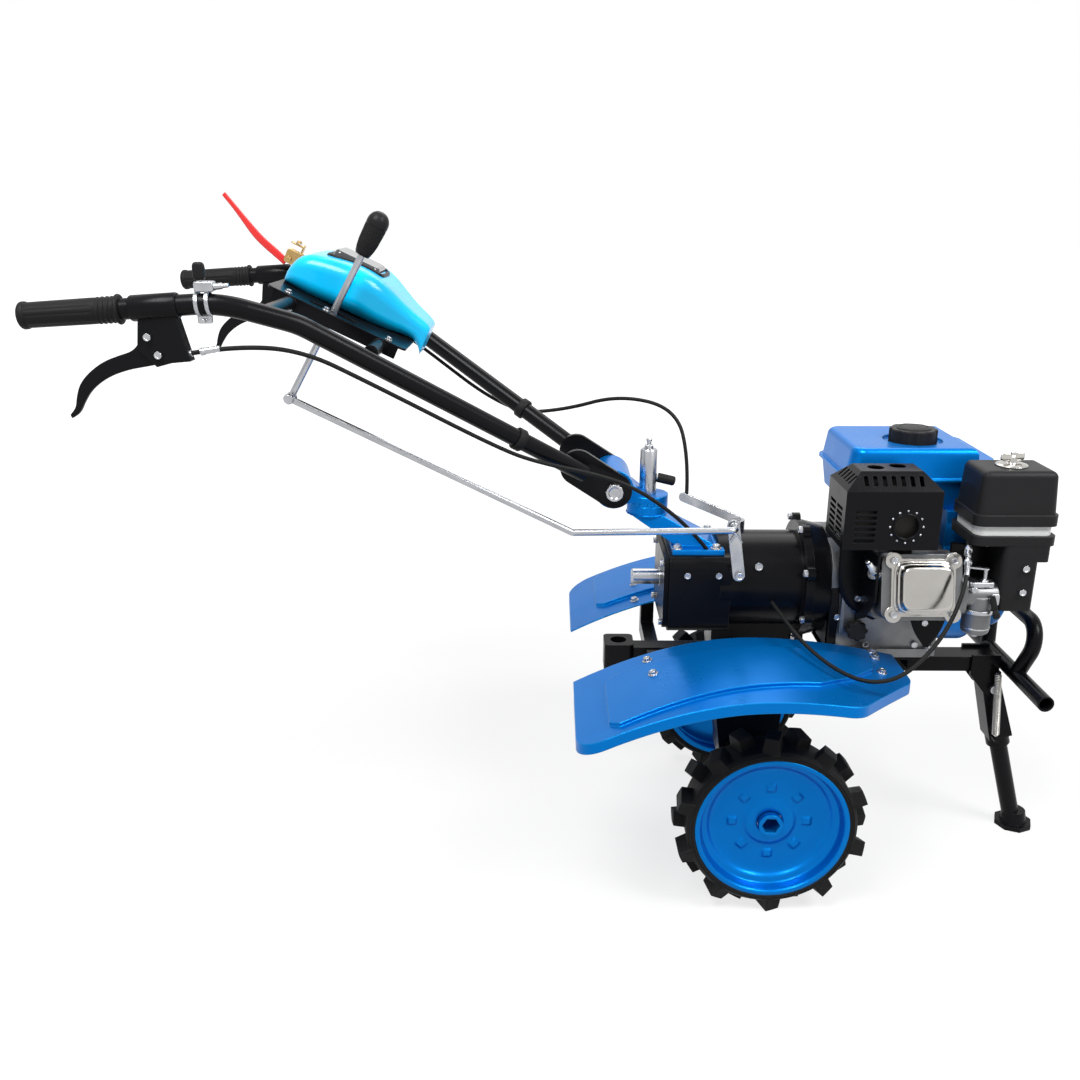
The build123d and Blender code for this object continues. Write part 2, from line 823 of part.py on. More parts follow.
# Muffler guard: thin slotted box, open below, with the muffler inside it
guard_middle = (from_axle(guard_rear + guard_length / 2), guard_left - guard_depth / 2)
slot_top = guard_top - guard_chamfer - guard_slot_drop
with BuildPart() as muffler_guard:
    with BuildSketch(Plane.XY.offset(guard_bottom)):
        with Locations(guard_middle):
            Rectangle(guard_length, guard_depth)
    extrude(amount=guard_height)
    chamfer(muffler_guard.faces().sort_by(Axis.Z)[-1].edges(), guard_chamfer)
    offset(amount=-guard_wall, openings=muffler_guard.faces().sort_by(Axis.Z)[0])
    with BuildSketch(Plane.XZ.offset(-guard_right)):
        for i in range(guard_slot_rows):
            with Locations((from_axle(guard_rear) + guard_slot_length, slot_top - guard_slot_pitch * i)):
                SlotOverall(guard_slot_length, guard_slot)
        with Locations((from_axle(guard_front) - 2.8 * outlet_radius, slot_top - 2.5 * guard_slot_pitch)):
            Circle(outlet_radius)
    extrude(amount=-2 * guard_wall, mode=Mode.SUBTRACT)
    with BuildSketch(Plane.XZ.offset(-guard_right)):
        for i in range(guard_vent_count):
            reach = guard_vent_pitch * (i - (guard_vent_count - 1) / 2)
            with Locations((guard_middle[0] + reach, guard_top - guard_chamfer / 2)):
                Rectangle(guard_vent, guard_chamfer / 2)
    extrude(amount=-0.9 * guard_chamfer, mode=Mode.SUBTRACT)
    with BuildSketch(Plane.YZ.offset(from_axle(guard_rear))):
        for i in range(guard_slot_rows):
            for side in (-1, 1):
                slot_y = guard_middle[1] + side * 0.6 * guard_slot_length
                with Locations((slot_y, slot_top - guard_slot_pitch * i)):
                    SlotOverall(guard_slot_length, guard_slot)
    extrude(amount=2 * guard_wall, mode=Mode.SUBTRACT)
    with BuildSketch(Plane.YZ.offset(from_axle(guard_rear))):
        for i in range(guard_vent_count - 2):
            reach = guard_vent_pitch * (i - (guard_vent_count - 3) / 2)
            with Locations((guard_middle[1] + reach, guard_top - guard_chamfer / 2)):
                Rectangle(guard_vent, guard_chamfer / 2)
    extrude(amount=0.9 * guard_chamfer, mode=Mode.SUBTRACT)
    with BuildSketch(Plane.XY.offset(guard_top)):
        with Locations(
            (guard_middle[0] - outlet_radius, guard_middle[1]),
            (guard_middle[0] + outlet_radius, guard_middle[1] + outlet_radius / 2),
        ):
            Circle(0.7 * outlet_radius)
    extrude(amount=-2 * guard_wall, mode=Mode.SUBTRACT)
pieces["muffler_guard"] = muffler_guard.part
boss_top = guard_top - guard_chamfer - guard_wall
with BuildPart() as muffler:
    with BuildSketch(Plane.XY.offset(guard_bottom + muffler_floor)):
        with Locations(guard_middle):
            RectangleRounded(
                guard_length - 2 * guard_wall - 2 * muffler_gap,
                guard_depth - 2 * guard_wall - 2 * muffler_gap,
                muffler_corner,
            )
    extrude(amount=boss_top - guard_bottom - muffler_floor)
    with BuildSketch(Plane.YZ.offset(from_axle(guard_rear) + guard_wall + seat_gap)):
        with Locations((guard_middle[1], boss_top - 2 * muffler_boss)):
            Circle(muffler_boss)
    extrude(amount=muffler_gap + muffler_corner)
    with BuildSketch(Plane.XY.offset(guard_bottom + muffler_floor + muffler_corner)):
        with Locations((from_axle(cylinder_x) - muffler_boss_reach / 2, guard_middle[1])):
            Circle(muffler_pipe_radius)
    extrude(amount=head_top - guard_bottom - muffler_floor - muffler_corner - guard_head_gap)
    add(cylinder_head.part, mode=Mode.SUBTRACT)
pieces["muffler"] = muffler.part

# Carburettor: flange and barrel from the head to the intake box, with its float bowl
with BuildPart() as carburettor:
    with BuildSketch(Plane.YZ.offset(from_axle(head_side))):
        with Locations((carb_y, carb_z)):
            Circle(carb_radius)
    extrude(amount=carb_length)
    with BuildSketch(Plane.YZ.offset(from_axle(head_side))):
        with Locations((carb_y, carb_z)):
            SlotOverall(2.4 * carb_flange, 2 * carb_radius, rotation=90)
    extrude(amount=carb_flange_thickness)
    with BuildSketch(Plane.XY.offset(carb_z - carb_radius - bowl_height)):
        with Locations((from_axle(head_side + bowl_from_head), carb_y)):
            Circle(bowl_radius)
    extrude(amount=bowl_height + carb_radius)
    fillet(carburettor.faces().sort_by(Axis.Z)[0].edges(), bowl_fillet)
pieces["carburettor"] = carburettor.part

# Air cleaner: intake box and tray, pale band and cover
cleaner_front = elbow_front + cleaner_overhang
cleaner_middle = (from_axle(cleaner_front - cleaner_length / 2), cleaner_left - cleaner_width / 2)
with BuildPart() as air_intake:
    with BuildSketch(Plane.XY.offset(tray_bottom)):
        with Locations(cleaner_middle):
            RectangleRounded(cleaner_length, cleaner_width, cleaner_corner)
    extrude(amount=tray_height)
    with BuildSketch(Plane.XY.offset(carb_z - elbow_drop)):
        with Locations((from_axle(elbow_rear + elbow_length / 2), elbow_y)):
            RectangleRounded(elbow_length, elbow_width, cleaner_corner / 2)
    extrude(amount=tray_bottom - carb_z + elbow_drop)
    with BuildSketch(Plane.XY.offset(tray_bottom - elbow_head_height)):
        with Locations((from_axle(elbow_rear + (elbow_length + elbow_head) / 2), elbow_y)):
            RectangleRounded(elbow_length + elbow_head, elbow_width, cleaner_corner / 2)
    extrude(amount=elbow_head_height)
pieces["air_intake"] = air_intake.part
with BuildPart() as air_cleaner_band:
    with BuildSketch(Plane.XY.offset(cleaner_bottom - band_height)):
        with Locations(cleaner_middle):
            RectangleRounded(cleaner_length - 2 * band_inset, cleaner_width - 2 * band_inset, cleaner_corner)
    extrude(amount=band_height)
pieces["air_cleaner_band"] = air_cleaner_band.part
with BuildPart() as air_cleaner_cover:
    with BuildSketch(Plane.XY.offset(cleaner_bottom)):
        with Locations(cleaner_middle):
            RectangleRounded(
                cleaner_length - 2 * cleaner_rim,
                cleaner_width - 2 * cleaner_rim,
                cleaner_corner,
            )
    extrude(amount=cleaner_height, taper=cleaner_taper)
    fillet(air_cleaner_cover.faces().sort_by(Axis.Z)[-1].edges(), cleaner_fillet)
    with BuildSketch(Plane.XY.offset(cleaner_bottom)):
        with Locations(cleaner_middle):
            RectangleRounded(cleaner_length, cleaner_width, cleaner_corner)
    extrude(amount=cleaner_rim_height)
pieces["air_cleaner_cover"] = air_cleaner_cover.part

# Front frame: beam, risers and mounting plate under the engine, cross bar and hoop
riser_height = beam_drop - mount_plate
with BuildPart() as engine_frame:
    with Locations((from_axle((leg_front + beam_front) / 2), 0, beam_top - beam_height / 2)):
        Box(beam_front - leg_front, beam_width, beam_height)
    with Locations(
        (from_axle(bell_front + riser_inset), 0, beam_top + riser_height / 2),
        (from_axle(crankcase_front - riser_inset), 0, beam_top + riser_height / 2),
    ):
        Box(riser_thickness, 2 * riser_half_width, riser_height)
    with Locations((crankcase_middle[0], 0, base_z - mount_plate / 2)):
        Box(crankcase_length - 2 * mount_inset, 2 * mount_half_width, mount_plate)
    add(gearbox_case.part, mode=Mode.SUBTRACT)
pieces["engine_frame"] = engine_frame.part
crossbar_x = from_axle(beam_front) + crossbar_radius
crossbar_z = beam_top - beam_height / 2
crossbar_solid = cross_bar(crossbar_x, crossbar_z, crossbar_radius, crossbar_half)
crossbar_bore = cross_bar(crossbar_x, crossbar_z, crossbar_radius - crossbar_wall, crossbar_half)
hoop_top = (crossbar_x + hoop_forward, crossbar_z + hoop_rise)
hoop_bar = sweep_round(
    [
        (crossbar_x, -hoop_foot_y, crossbar_z),
        (hoop_top[0], -hoop_top_y, hoop_top[1]),
        (hoop_top[0], hoop_top_y, hoop_top[1]),
        (crossbar_x, hoop_foot_y, crossbar_z),
    ],
    hoop_radius,
    hoop_bend,
)
with BuildPart() as front_hoop:
    add(crossbar_solid)
    add(hoop_bar)
    add(crossbar_bore, mode=Mode.SUBTRACT)
pieces["front_hoop"] = front_hoop.part

# Stand: bracket plates beside the beam, a swinging leg with collar and foot, its pin and its spring
stand_pivot = (from_axle(stand_x), beam_top - stand_pivot_drop)
plate_half = beam_width / 2 + seat_gap
plate_outer = plate_half + stand_plate
spring_y = -(plate_outer + spring_gap + spring_radius)
down = (sin(radians(stand_lean)), -cos(radians(stand_lean)))


def on_leg(run, ahead):
    """A place on the parked leg, down from its pivot and ahead of its middle line, as x and z."""
    x = stand_pivot[0] + run * down[0] - ahead * down[1]
    z = stand_pivot[1] + run * down[1] + ahead * down[0]
    return (x, z)


bracket_outline = [
    (stand_pivot[0] - stand_plate_rear, beam_top + stand_plate),
    (from_axle(beam_front) - seat_gap, beam_top + stand_plate),
    (from_axle(beam_front) - seat_gap, stand_pivot[1] - stand_plate_skirt / 2),
    (stand_pivot[0] - stand_plate_skirt / 4, stand_pivot[1] - stand_plate_skirt),
    (stand_pivot[0] - stand_plate_skirt, stand_pivot[1] - stand_plate_skirt / 2),
    (stand_pivot[0] - stand_plate_rear, beam_bottom - stand_plate),
]
spring_top = (stand_pivot[0], beam_bottom + pin_radius)
spring_low = on_leg(collar_run - collar_height / 2, -stand_tube_radius)
stand_pin = cross_bar(stand_pivot[0], stand_pivot[1], pin_radius, plate_outer + spring_gap / 2)
with BuildPart() as stand_bracket:
    add(upright_plate(bracket_outline, -plate_outer, stand_plate))
    add(upright_plate(bracket_outline, plate_half, stand_plate))
    add(
        round_bar(
            (spring_top[0], -plate_half - stand_plate / 2, spring_top[1]),
            (spring_top[0], spring_y - spring_radius, spring_top[1]),
            pin_radius / 2,
        )
    )
    add(stand_pin, mode=Mode.SUBTRACT)
pieces["stand_bracket"] = stand_bracket.part
leg_plane = Plane(
    origin=(stand_pivot[0], 0, stand_pivot[1]),
    x_dir=(0, 1, 0),
    z_dir=(down[0], 0, down[1]),
)
leg_run = stand_pivot[1] / cos(radians(stand_lean))
foot_x = on_leg(leg_run, 0)[0]
with BuildPart() as stand_leg:
    add(cross_bar(stand_pivot[0], stand_pivot[1], stand_eye_radius, plate_half - seat_gap))
    add(
        upright_plate(
            [
                on_leg(0, -stand_eye_radius),
                on_leg(0, stand_eye_radius),
                on_leg(collar_run, collar_radius),
                on_leg(collar_run, -collar_radius),
            ],
            seat_gap - plate_half,
            2 * (plate_half - seat_gap),
        )
    )
    with BuildSketch(leg_plane.offset(collar_run)):
        Circle(collar_radius)
    extrude(amount=collar_height)
    with BuildSketch(leg_plane.offset(collar_run)):
        Circle(stand_tube_radius)
    extrude(amount=leg_run - collar_run)
    with BuildSketch():
        with Locations((foot_x, 0)):
            RegularPolygon(foot_radius, 8)
    extrude(amount=foot_thickness)
    with BuildSketch(Plane.XY.offset(foot_thickness)):
        with Locations((foot_x, 0)):
            Circle(foot_cup_radius)
    extrude(amount=foot_cup, taper=12)
    add(
        round_bar(
            (spring_low[0], 0, spring_low[1]),
            (spring_low[0], spring_y - spring_radius, spring_low[1]),
            pin_radius / 2,
        )
    )
    add(cross_bar(stand_pivot[0], stand_pivot[1], pin_radius + running_gap, plate_outer), mode=Mode.SUBTRACT)
    add(box_between((foot_x - 200, -200, -200), (foot_x + 200, 200, 0)), mode=Mode.SUBTRACT)
pieces["stand_leg"] = stand_leg.part
stand_spring = round_bar(
    (spring_top[0], spring_y, spring_top[1]), (spring_low[0], spring_y, spring_low[1]), spring_radius
)
pieces["stand_spring"] = cut(stand_spring, stand_bracket.part, stand_leg.part)

# Rear hitch: block with an upright bore on an arm from the gear leg
hitch_middle = hitch_bottom + hitch_height / 2
with BuildPart() as rear_hitch:
    with BuildSketch(Plane.XY.offset(hitch_bottom)):
        with Locations((from_axle(hitch_x), 0)):
            RectangleRounded(hitch_size, hitch_size, hitch_corner)
    extrude(amount=hitch_height)
    with Locations(((from_axle(hitch_x) + axle_x) / 2, 0, hitch_middle)):
        Box(-hitch_x, hitch_arm_width, hitch_arm_height)
    with Locations((from_axle(hitch_x), 0, hitch_middle)):
        Cylinder(hitch_bore, hitch_height, mode=Mode.SUBTRACT)
    add(gearbox_case.part, mode=Mode.SUBTRACT)
rear_hitch_solid = rear_hitch.part.solids().sort_by(Axis.X)[0]
pieces["rear_hitch"] = rear_hitch_solid

# Fenders: arched sheet with a pressed band and a turned-down outer edge
fender_curve = [
    # ahead of the axle, height of the sheet's underside
    (fender_rear, 313.0),
    (-200.0, 355.0),
    (-69.0, 387.0),
    (60.0, 385.0),
    (fender_front, 362.0),
]
fender_plan = [
    (fender_rear, fender_inner),
    (fender_front, fender_inner),
    (fender_front, 200.0),
    (90.0, fender_outer),
    (fender_rear, fender_outer),
]
band_start = fender_rear + band_rear
band_low = fender_inner + band_inner
band_high = fender_outer - band_outer
band_plan = [
    (band_start, band_low + 14),
    (band_start + 14, band_low),
    (130.0, band_low),
    (150.0, band_low + 14),
    (140.0, 190.0),
    (100.0, 232.0),
    (46.0, 264.0),
    (-124.0, 286.0),
    (band_start + 14, band_high),
    (band_start, band_high - 14),
]


def fender_layer(low, high):
    """The fender's arch between two heights above its underside, as wide as the machine's half."""
    with BuildPart() as layer:
        with BuildSketch(Plane.XZ):
            with BuildLine():
                upper = Spline(*[(from_axle(x), z + high) for x, z in fender_curve])
                lower = Spline(*[(from_axle(x), z + low) for x, z in fender_curve])
                Line(upper @ 0, lower @ 0)
                Line(upper @ 1, lower @ 1)
            make_face()
        extrude(amount=-2 * fender_outer)
    return layer.part


def upright_block(plan, corner, inset=0.0):
    """A tall block over a plan in x and y, with its outer corners rounded and its edges drawn in."""
    with BuildPart() as block:
        with BuildSketch() as outline:
            with BuildLine():
                Polyline(*[(from_axle(x), y) for x, y in plan], close=True)
            make_face()
            if corner:
                fillet(outline.vertices().sort_by(Axis.Y)[2:], corner)
            if inset:
                offset(amount=-inset, mode=Mode.REPLACE)
        extrude(amount=600)
    return block.part


fender_block = upright_block(fender_plan, fender_corner)
band_block = upright_block(band_plan, 0)
inner_strip = box_between((from_axle(-600), 0, 0), (from_axle(600), fender_inner + fender_lip_start, 600))
fender_edge = cut(fender_block, upright_block(fender_plan, fender_corner, fender_sheet), inner_strip)
band_edge = cut(band_block, upright_block(band_plan, 0, fender_sheet))
with BuildPart() as fender_left:
    add(cut(common(fender_layer(0, fender_sheet), fender_block), band_block))
    add(common(fender_layer(-fender_lip, fender_sheet), fender_edge))
    add(common(fender_layer(0, fender_sheet + band_rise), band_edge))
    add(common(fender_layer(band_rise, band_rise + fender_sheet), band_block))
pieces["fender_left"] = fender_left.part
pieces["fender_right"] = flipped(fender_left.part)

# Fender brackets at the hitch arm and at the engine's mounting plate
below_fender = fender_layer(-seat_gap, 100)
post_y = fender_inner + post_size / 2
with BuildPart() as rear_fender_bracket:
    with Locations((from_axle(rear_strap_x), 0, hitch_middle)):
        Box(post_size, 2 * post_y, rear_strap_height)
    for side in (-1, 1):
        with Locations((from_axle(rear_strap_x), side * post_y, hitch_middle + 50 - rear_strap_height / 2)):
            Box(post_size, post_size, 100)
    add(below_fender, mode=Mode.SUBTRACT)
    add(flipped(below_fender), mode=Mode.SUBTRACT)
    add(rear_hitch_solid, mode=Mode.SUBTRACT)
with BuildPart() as front_fender_bracket:
    for side in (-1, 1):
        strap_y = side * (mount_half_width + front_strap_reach / 2)
        with Locations((from_axle(front_strap_x), strap_y, base_z - mount_plate / 2)):
            Box(strap_width, front_strap_reach, mount_plate)
        with Locations((from_axle(front_strap_x), side * post_y, base_z + 10)):
            Box(strap_width, post_size, 2 * post_size)
    add(below_fender, mode=Mode.SUBTRACT)
    add(flipped(below_fender), mode=Mode.SUBTRACT)
pieces["fender_brackets"] = Compound([
    *rear_fender_bracket.part.solids(),
    *front_fender_bracket.part.solids(),
])

# Handle neck: base plate, leaning box and the lower toothed disc
disc_bottom = swivel_z - toothed_height
swivel = (from_axle(swivel_x), 0)
tooth_ring = swivel_radius - tooth_height
tooth_width = 3.14159 * tooth_ring / tooth_count
with BuildPart() as handle_neck:
    with Locations((from_axle((neck_base_rear + neck_base_front) / 2), 0, deck_z + neck_base_thickness / 2)):
        Box(neck_base_front - neck_base_rear, neck_base_width, neck_base_thickness)
    with BuildSketch(Plane.XY.offset(deck_z + neck_base_thickness)):
        with Locations((from_axle((neck_foot_rear + neck_foot_front) / 2), 0)):
            Rectangle(neck_foot_front - neck_foot_rear, neck_width)
    with BuildSketch(Plane.XY.offset(disc_bottom)):
        with Locations(swivel):
            Rectangle(neck_top_length, neck_top_width)
    loft()
    with BuildSketch(Plane.XY.offset(disc_bottom)):
        with Locations(swivel):
            Circle(swivel_radius)
    extrude(amount=toothed_height)
    with BuildSketch(Plane.XY.offset(swivel_z)):
        with Locations(swivel):
            with PolarLocations(tooth_ring, tooth_count):
                Rectangle(2 * tooth_height - 2 * tooth_gap, tooth_width - 2 * tooth_gap)
    extrude(amount=tooth_height - tooth_gap)
    add(gearbox_case.part, mode=Mode.SUBTRACT)
pieces["handle_neck"] = handle_neck.part

# Tilt head: upper toothed disc and the barrel between the handlebars' end plates
tilt = (from_axle(tilt_x), tilt_z)
with BuildPart() as tilt_head:
    with BuildSketch(Plane.XY.offset(swivel_z)):
        with Locations(swivel):
            Circle(swivel_radius)
    extrude(amount=toothed_height)
    add(cross_bar(tilt[0], tilt_z, tilt_barrel_radius, tilt_barrel_width / 2))
    add(
        upright_plate(
            [
                (tilt[0], tilt_z - tilt_barrel_radius + 4),
                (swivel[0] - clamp_radius, swivel_z + tooth_height),
                (swivel[0], swivel_z + toothed_height),
                (tilt[0], tilt_z + tilt_barrel_radius - 4),
            ],
            -neck_top_width / 2,
            neck_top_width,
        )
    )
    add(cross_bar(tilt[0], tilt_z, tilt_bolt_radius, tilt_barrel_width / 2), mode=Mode.SUBTRACT)
    with BuildSketch(Plane.XY.offset(swivel_z)):
        with Locations(swivel):
            Circle(clamp_radius + tooth_gap)
    extrude(amount=clamp_height, mode=Mode.SUBTRACT)
    with BuildSketch(Plane.XY.offset(swivel_z)):
        with Locations(swivel):
            with PolarLocations(tooth_ring, tooth_count):
                Rectangle(2 * tooth_height, tooth_width)
    extrude(amount=tooth_height, mode=Mode.SUBTRACT)
pieces["tilt_head"] = tilt_head.part
end_outer = tilt_barrel_width / 2 + seat_gap + end_plate
with BuildPart() as tilt_bolt:
    add(cross_bar(tilt[0], tilt_z, tilt_bolt_radius, end_outer + seat_gap))
    for side in (-1, 1):
        with BuildSketch(Plane.XZ.offset(-side * (end_outer + seat_gap))):
            with Locations(tilt):
                RegularPolygon(tilt_bolt_radius * 1.7, 6)
        extrude(amount=-side * tilt_bolt_radius)
pieces["pivot_bolts"] = Compound([stand_pin.solid(), tilt_bolt.part.solid()])
with BuildPart() as swivel_clamp:
    with BuildSketch(Plane.XY.offset(swivel_z)):
        with Locations(swivel):
            Circle(clamp_radius)
    extrude(amount=clamp_height)
    with BuildSketch(Plane.XY.offset(swivel_z + clamp_height)):
        with Locations(swivel):
            Circle(clamp_radius / 2)
    extrude(amount=clamp_nose)
    add(
        round_bar(
            (swivel[0], 0, swivel_z + clamp_bar_rise),
            (swivel[0] + clamp_bar_length, 0, swivel_z + clamp_bar_rise - clamp_nose / 2),
            clamp_bar_radius,
        )
    )
pieces["swivel_clamp"] = swivel_clamp.part

# Handlebars: two bent tubes, each with a flat end plate on the tilt bolt
handle_run = [at(p) for p in (handle_start, handle_bend_low, handle_bend_high, handle_end)]
plate_angle = degrees(atan2(handle_start[2] - tilt_z, handle_start[0] - tilt_x))
handle_solid = sweep_round(handle_run, handle_radius, handle_bend_radius)
handle_tube = sweep_round(handle_run, handle_radius, handle_bend_radius, handle_radius - handle_wall)
with BuildPart() as handle_left:
    add(handle_tube)
    with BuildSketch(Plane.XZ.offset(-tilt_barrel_width / 2 - seat_gap)):
        with Locations(Location((tilt[0], tilt[1], 0), (0, 0, plate_angle))):
            with Locations((end_plate_reach / 2, 0)):
                SlotCenterToCenter(end_plate_reach, 2 * end_plate_radius)
            Circle(tilt_bolt_radius + running_gap, mode=Mode.SUBTRACT)
    extrude(amount=-end_plate)
pieces["handle_tube_left"] = handle_left.part
pieces["handle_tube_right"] = flipped(handle_left.part)
grip_axis = (Vector(*handle_run[3]) - Vector(*handle_run[2])).normalized()
grip_tail = Vector(*handle_run[3]) + grip_axis * grip_cap
grip_left = cut(round_bar(grip_tail - grip_axis * grip_length, grip_tail, grip_radius), handle_solid)
pieces["grips"] = Compound([grip_left.solid(), flipped(grip_left).solid()])

# Control plate on two cross tubes between the handlebars
plate_pitch = degrees(atan2(plate_rear_z - plate_front_z, plate_front_x - plate_rear_x))
plate_length = hypot(plate_front_x - plate_rear_x, plate_rear_z - plate_front_z)
plate_plane = Plane(
    origin=(from_axle((plate_rear_x + plate_front_x) / 2), 0, (plate_rear_z + plate_front_z) / 2),
    x_dir=(cos(radians(plate_pitch)), 0, -sin(radians(plate_pitch))),
    z_dir=(sin(radians(plate_pitch)), 0, cos(radians(plate_pitch))),
)
lever_slope = (lever_top[0] - lever_low[0]) / (lever_top[1] - lever_low[1])
plate_middle_z = plate_plane.origin.Z
lever_middle = (from_axle(lever_low[0] + lever_slope * (plate_middle_z - lever_low[1])), 0, plate_middle_z)
lever_cross = plate_plane.to_local_coords(Vector(*lever_middle))
with BuildPart() as control_plate:
    with BuildSketch(plate_plane):
        RectangleRounded(plate_length, 2 * plate_half_width, plate_corner)
        with Locations((lever_cross.X, lever_y)):
            SlotOverall(lever_slot_length, lever_slot_width, mode=Mode.SUBTRACT)
    extrude(amount=plate_sheet)
    with BuildSketch(plate_plane):
        for side in (-1, 1):
            with Locations((0, side * (plate_half_width - plate_sheet / 2))):
                Rectangle(plate_length - 2 * plate_corner, plate_sheet)
    extrude(amount=-plate_flange)
brace_rows = [
    # along the plate from its middle, half length to the tubes' middle lines
    (-66.0, 264.0),
    (66.0, 203.0),
]
with BuildPart() as braced_plate:
    for reach, half_length in brace_rows:
        middle = plate_plane.from_local_coords(Vector(reach, 0, plate_sheet / 2 - brace_radius))
        add(cross_bar(middle.X, middle.Z, brace_radius, half_length))
    add(handle_solid, mode=Mode.SUBTRACT)
    add(flipped(handle_solid), mode=Mode.SUBTRACT)
    add(control_plate.part)
pieces["control_plate"] = braced_plate.part

# Console on the plate, lofted along it, with a clear window on top
console_rows = [
    # along the plate, half width, top, bottom, corner radius
    (-98.0, 62.0, 24.0, plate_sheet, 9.0),
    (-80.0, 78.0, 52.0, plate_sheet, 18.0),
    (-30.0, 86.0, 66.0, plate_sheet, 22.0),
    (28.0, 82.0, 64.0, plate_sheet, 22.0),
    (62.0, 66.0, 50.0, plate_sheet, 17.0),
    (98.0, 50.0, 37.0, plate_sheet, 13.0),
    (116.0, 42.0, 28.0, -14.0, 10.0),
]
with BuildPart() as console:
    for reach, half, top, bottom, corner in console_rows:
        section = Plane(
            origin=plate_plane.from_local_coords(Vector(reach, 0, (top + bottom) / 2)),
            x_dir=(0, 1, 0),
            z_dir=plate_plane.x_dir,
        )
        with BuildSketch(section):
            RectangleRounded(2 * half, top - bottom, corner)
    loft()
    add(control_plate.part, mode=Mode.SUBTRACT)
pieces["console"] = console.part
with BuildPart() as console_window:
    with BuildSketch(plate_plane.offset(window_foot)):
        with Locations((window_back, 0)):
            RectangleRounded(window_length, window_width, window_width / 5)
    extrude(amount=window_rise, taper=14)
    fillet(console_window.faces().sort_by(Axis((0, 0, 0), plate_plane.z_dir))[-1].edges(), window_rise / 6)
    add(console.part, mode=Mode.SUBTRACT)
pieces["console_window"] = console_window.part.solids().sort_by(SortBy.VOLUME)[-1]

# Shift lever, knob and rod to the gearbox's arm
lever_high = Vector(from_axle(lever_top[0]), lever_y, lever_top[1])
lever_foot = Vector(from_axle(lever_low[0]), lever_y, lever_low[1])
pieces["shift_lever"] = round_bar(lever_foot, lever_high, lever_radius)
lever_axis = (lever_high - lever_foot).normalized()
knob_plane = Plane(lever_high - lever_axis * knob_socket, z_dir=lever_axis)
with BuildPart() as shift_knob:
    with BuildSketch(knob_plane):
        Circle(knob_neck_radius)
    with BuildSketch(knob_plane.offset(knob_length * 0.4)):
        Circle(knob_radius)
    with BuildSketch(knob_plane.offset(knob_length)):
        Circle(knob_radius - 1)
    loft()
    fillet(shift_knob.faces().sort_by(Axis((0, 0, 0), lever_axis))[-1].edges(), knob_radius / 3)
    add(pieces["shift_lever"], mode=Mode.SUBTRACT)
pieces["shift_knob"] = shift_knob.part
rod_y = lever_y - lever_radius - rod_radius
arm_face = arm_y - arm_thickness / 2
pieces["shift_rod"] = sweep_round(
    [
        (from_axle(lever_low[0]), rod_y, lever_low[1]),
        (from_axle(rod_bend[0]), rod_y, rod_bend[1]),
        (from_axle(arm_top[0]), rod_y, arm_top[1]),
        (from_axle(arm_top[0]), arm_face - rod_gap, arm_top[1]),
    ],
    rod_radius,
    rod_hook,
)
arm_run = hypot(arm_top[0] - arm_pivot[0], arm_top[1] - arm_pivot[1])
arm_turn = degrees(atan2(arm_top[1] - arm_pivot[1], arm_top[0] - arm_pivot[0]))
with BuildPart() as shift_arm:
    with BuildSketch(Plane.XZ.offset(-arm_face)):
        with Locations(Location((from_axle(arm_pivot[0]), arm_pivot[1], 0), (0, 0, arm_turn))):
            with Locations((arm_run / 2, 0)):
                SlotCenterToCenter(arm_run, arm_width)
    extrude(amount=-arm_thickness)
    arm_x = from_axle(arm_pivot[0])
    add(round_bar((arm_x, arm_face, arm_pivot[1]), (arm_x, 0, arm_pivot[1]), arm_width / 2))
    add(gearbox_case.part, mode=Mode.SUBTRACT)
pieces["shift_arm"] = shift_arm.part

# Clutch arm on the housing's top
clutch_run = hypot(clutch_tip[0] - clutch_pivot[0], clutch_tip[2] - clutch_pivot[2])
clutch_turn = degrees(atan2(clutch_tip[2] - clutch_pivot[2], clutch_tip[0] - clutch_pivot[0]))
with BuildPart() as clutch_arm:
    with BuildSketch(Plane.XZ.offset(-clutch_pivot[1] + clutch_thickness / 2)):
        with Locations(Location((from_axle(clutch_pivot[0]), clutch_pivot[2], 0), (0, 0, clutch_turn))):
            with Locations((clutch_run / 2, 0)):
                SlotCenterToCenter(clutch_run, clutch_width)
    extrude(amount=-clutch_thickness)
    with BuildSketch(Plane.XY.offset(crank_z)):
        with Locations((from_axle(clutch_pivot[0]), clutch_pivot[1])):
            Circle(clutch_boss)
    extrude(amount=clutch_pivot[2] - crank_z)
    add(gearbox_case.part, mode=Mode.SUBTRACT)
pieces["clutch_arm"] = clutch_arm.part

# Hand levers under the grips, each in a bracket on its tube
bracket_y = 290.5
bracket_half = 9.0
lever_half = 4.5
bracket_profile = [(-832, 905), (-789, 905), (-774, 843), (-797, 841), (-816, 836), (-838, 858)]
lever_profile = [
    (-806, 866), (-800, 843), (-816, 834), (-859, 820), (-888, 799), (-908, 777), (-920, 770), (-925, 776),
    (-915, 801), (-896, 826), (-871, 845), (-840, 856), (-830, 868),
]
bracket_profile = [(from_axle(x), z) for x, z in bracket_profile]
lever_profile = [(from_axle(x), z) for x, z in lever_profile]
lever_bracket = cut(upright_plate(bracket_profile, bracket_y - bracket_half, 2 * bracket_half), handle_solid)
hand_lever = cut(upright_plate(lever_profile, bracket_y - lever_half, 2 * lever_half), lever_bracket)
pieces["lever_brackets"] = Compound([lever_bracket.solid(), flipped(lever_bracket).solid()])
pieces["hand_levers"] = Compound([hand_lever.solid(), flipped(hand_lever).solid()])

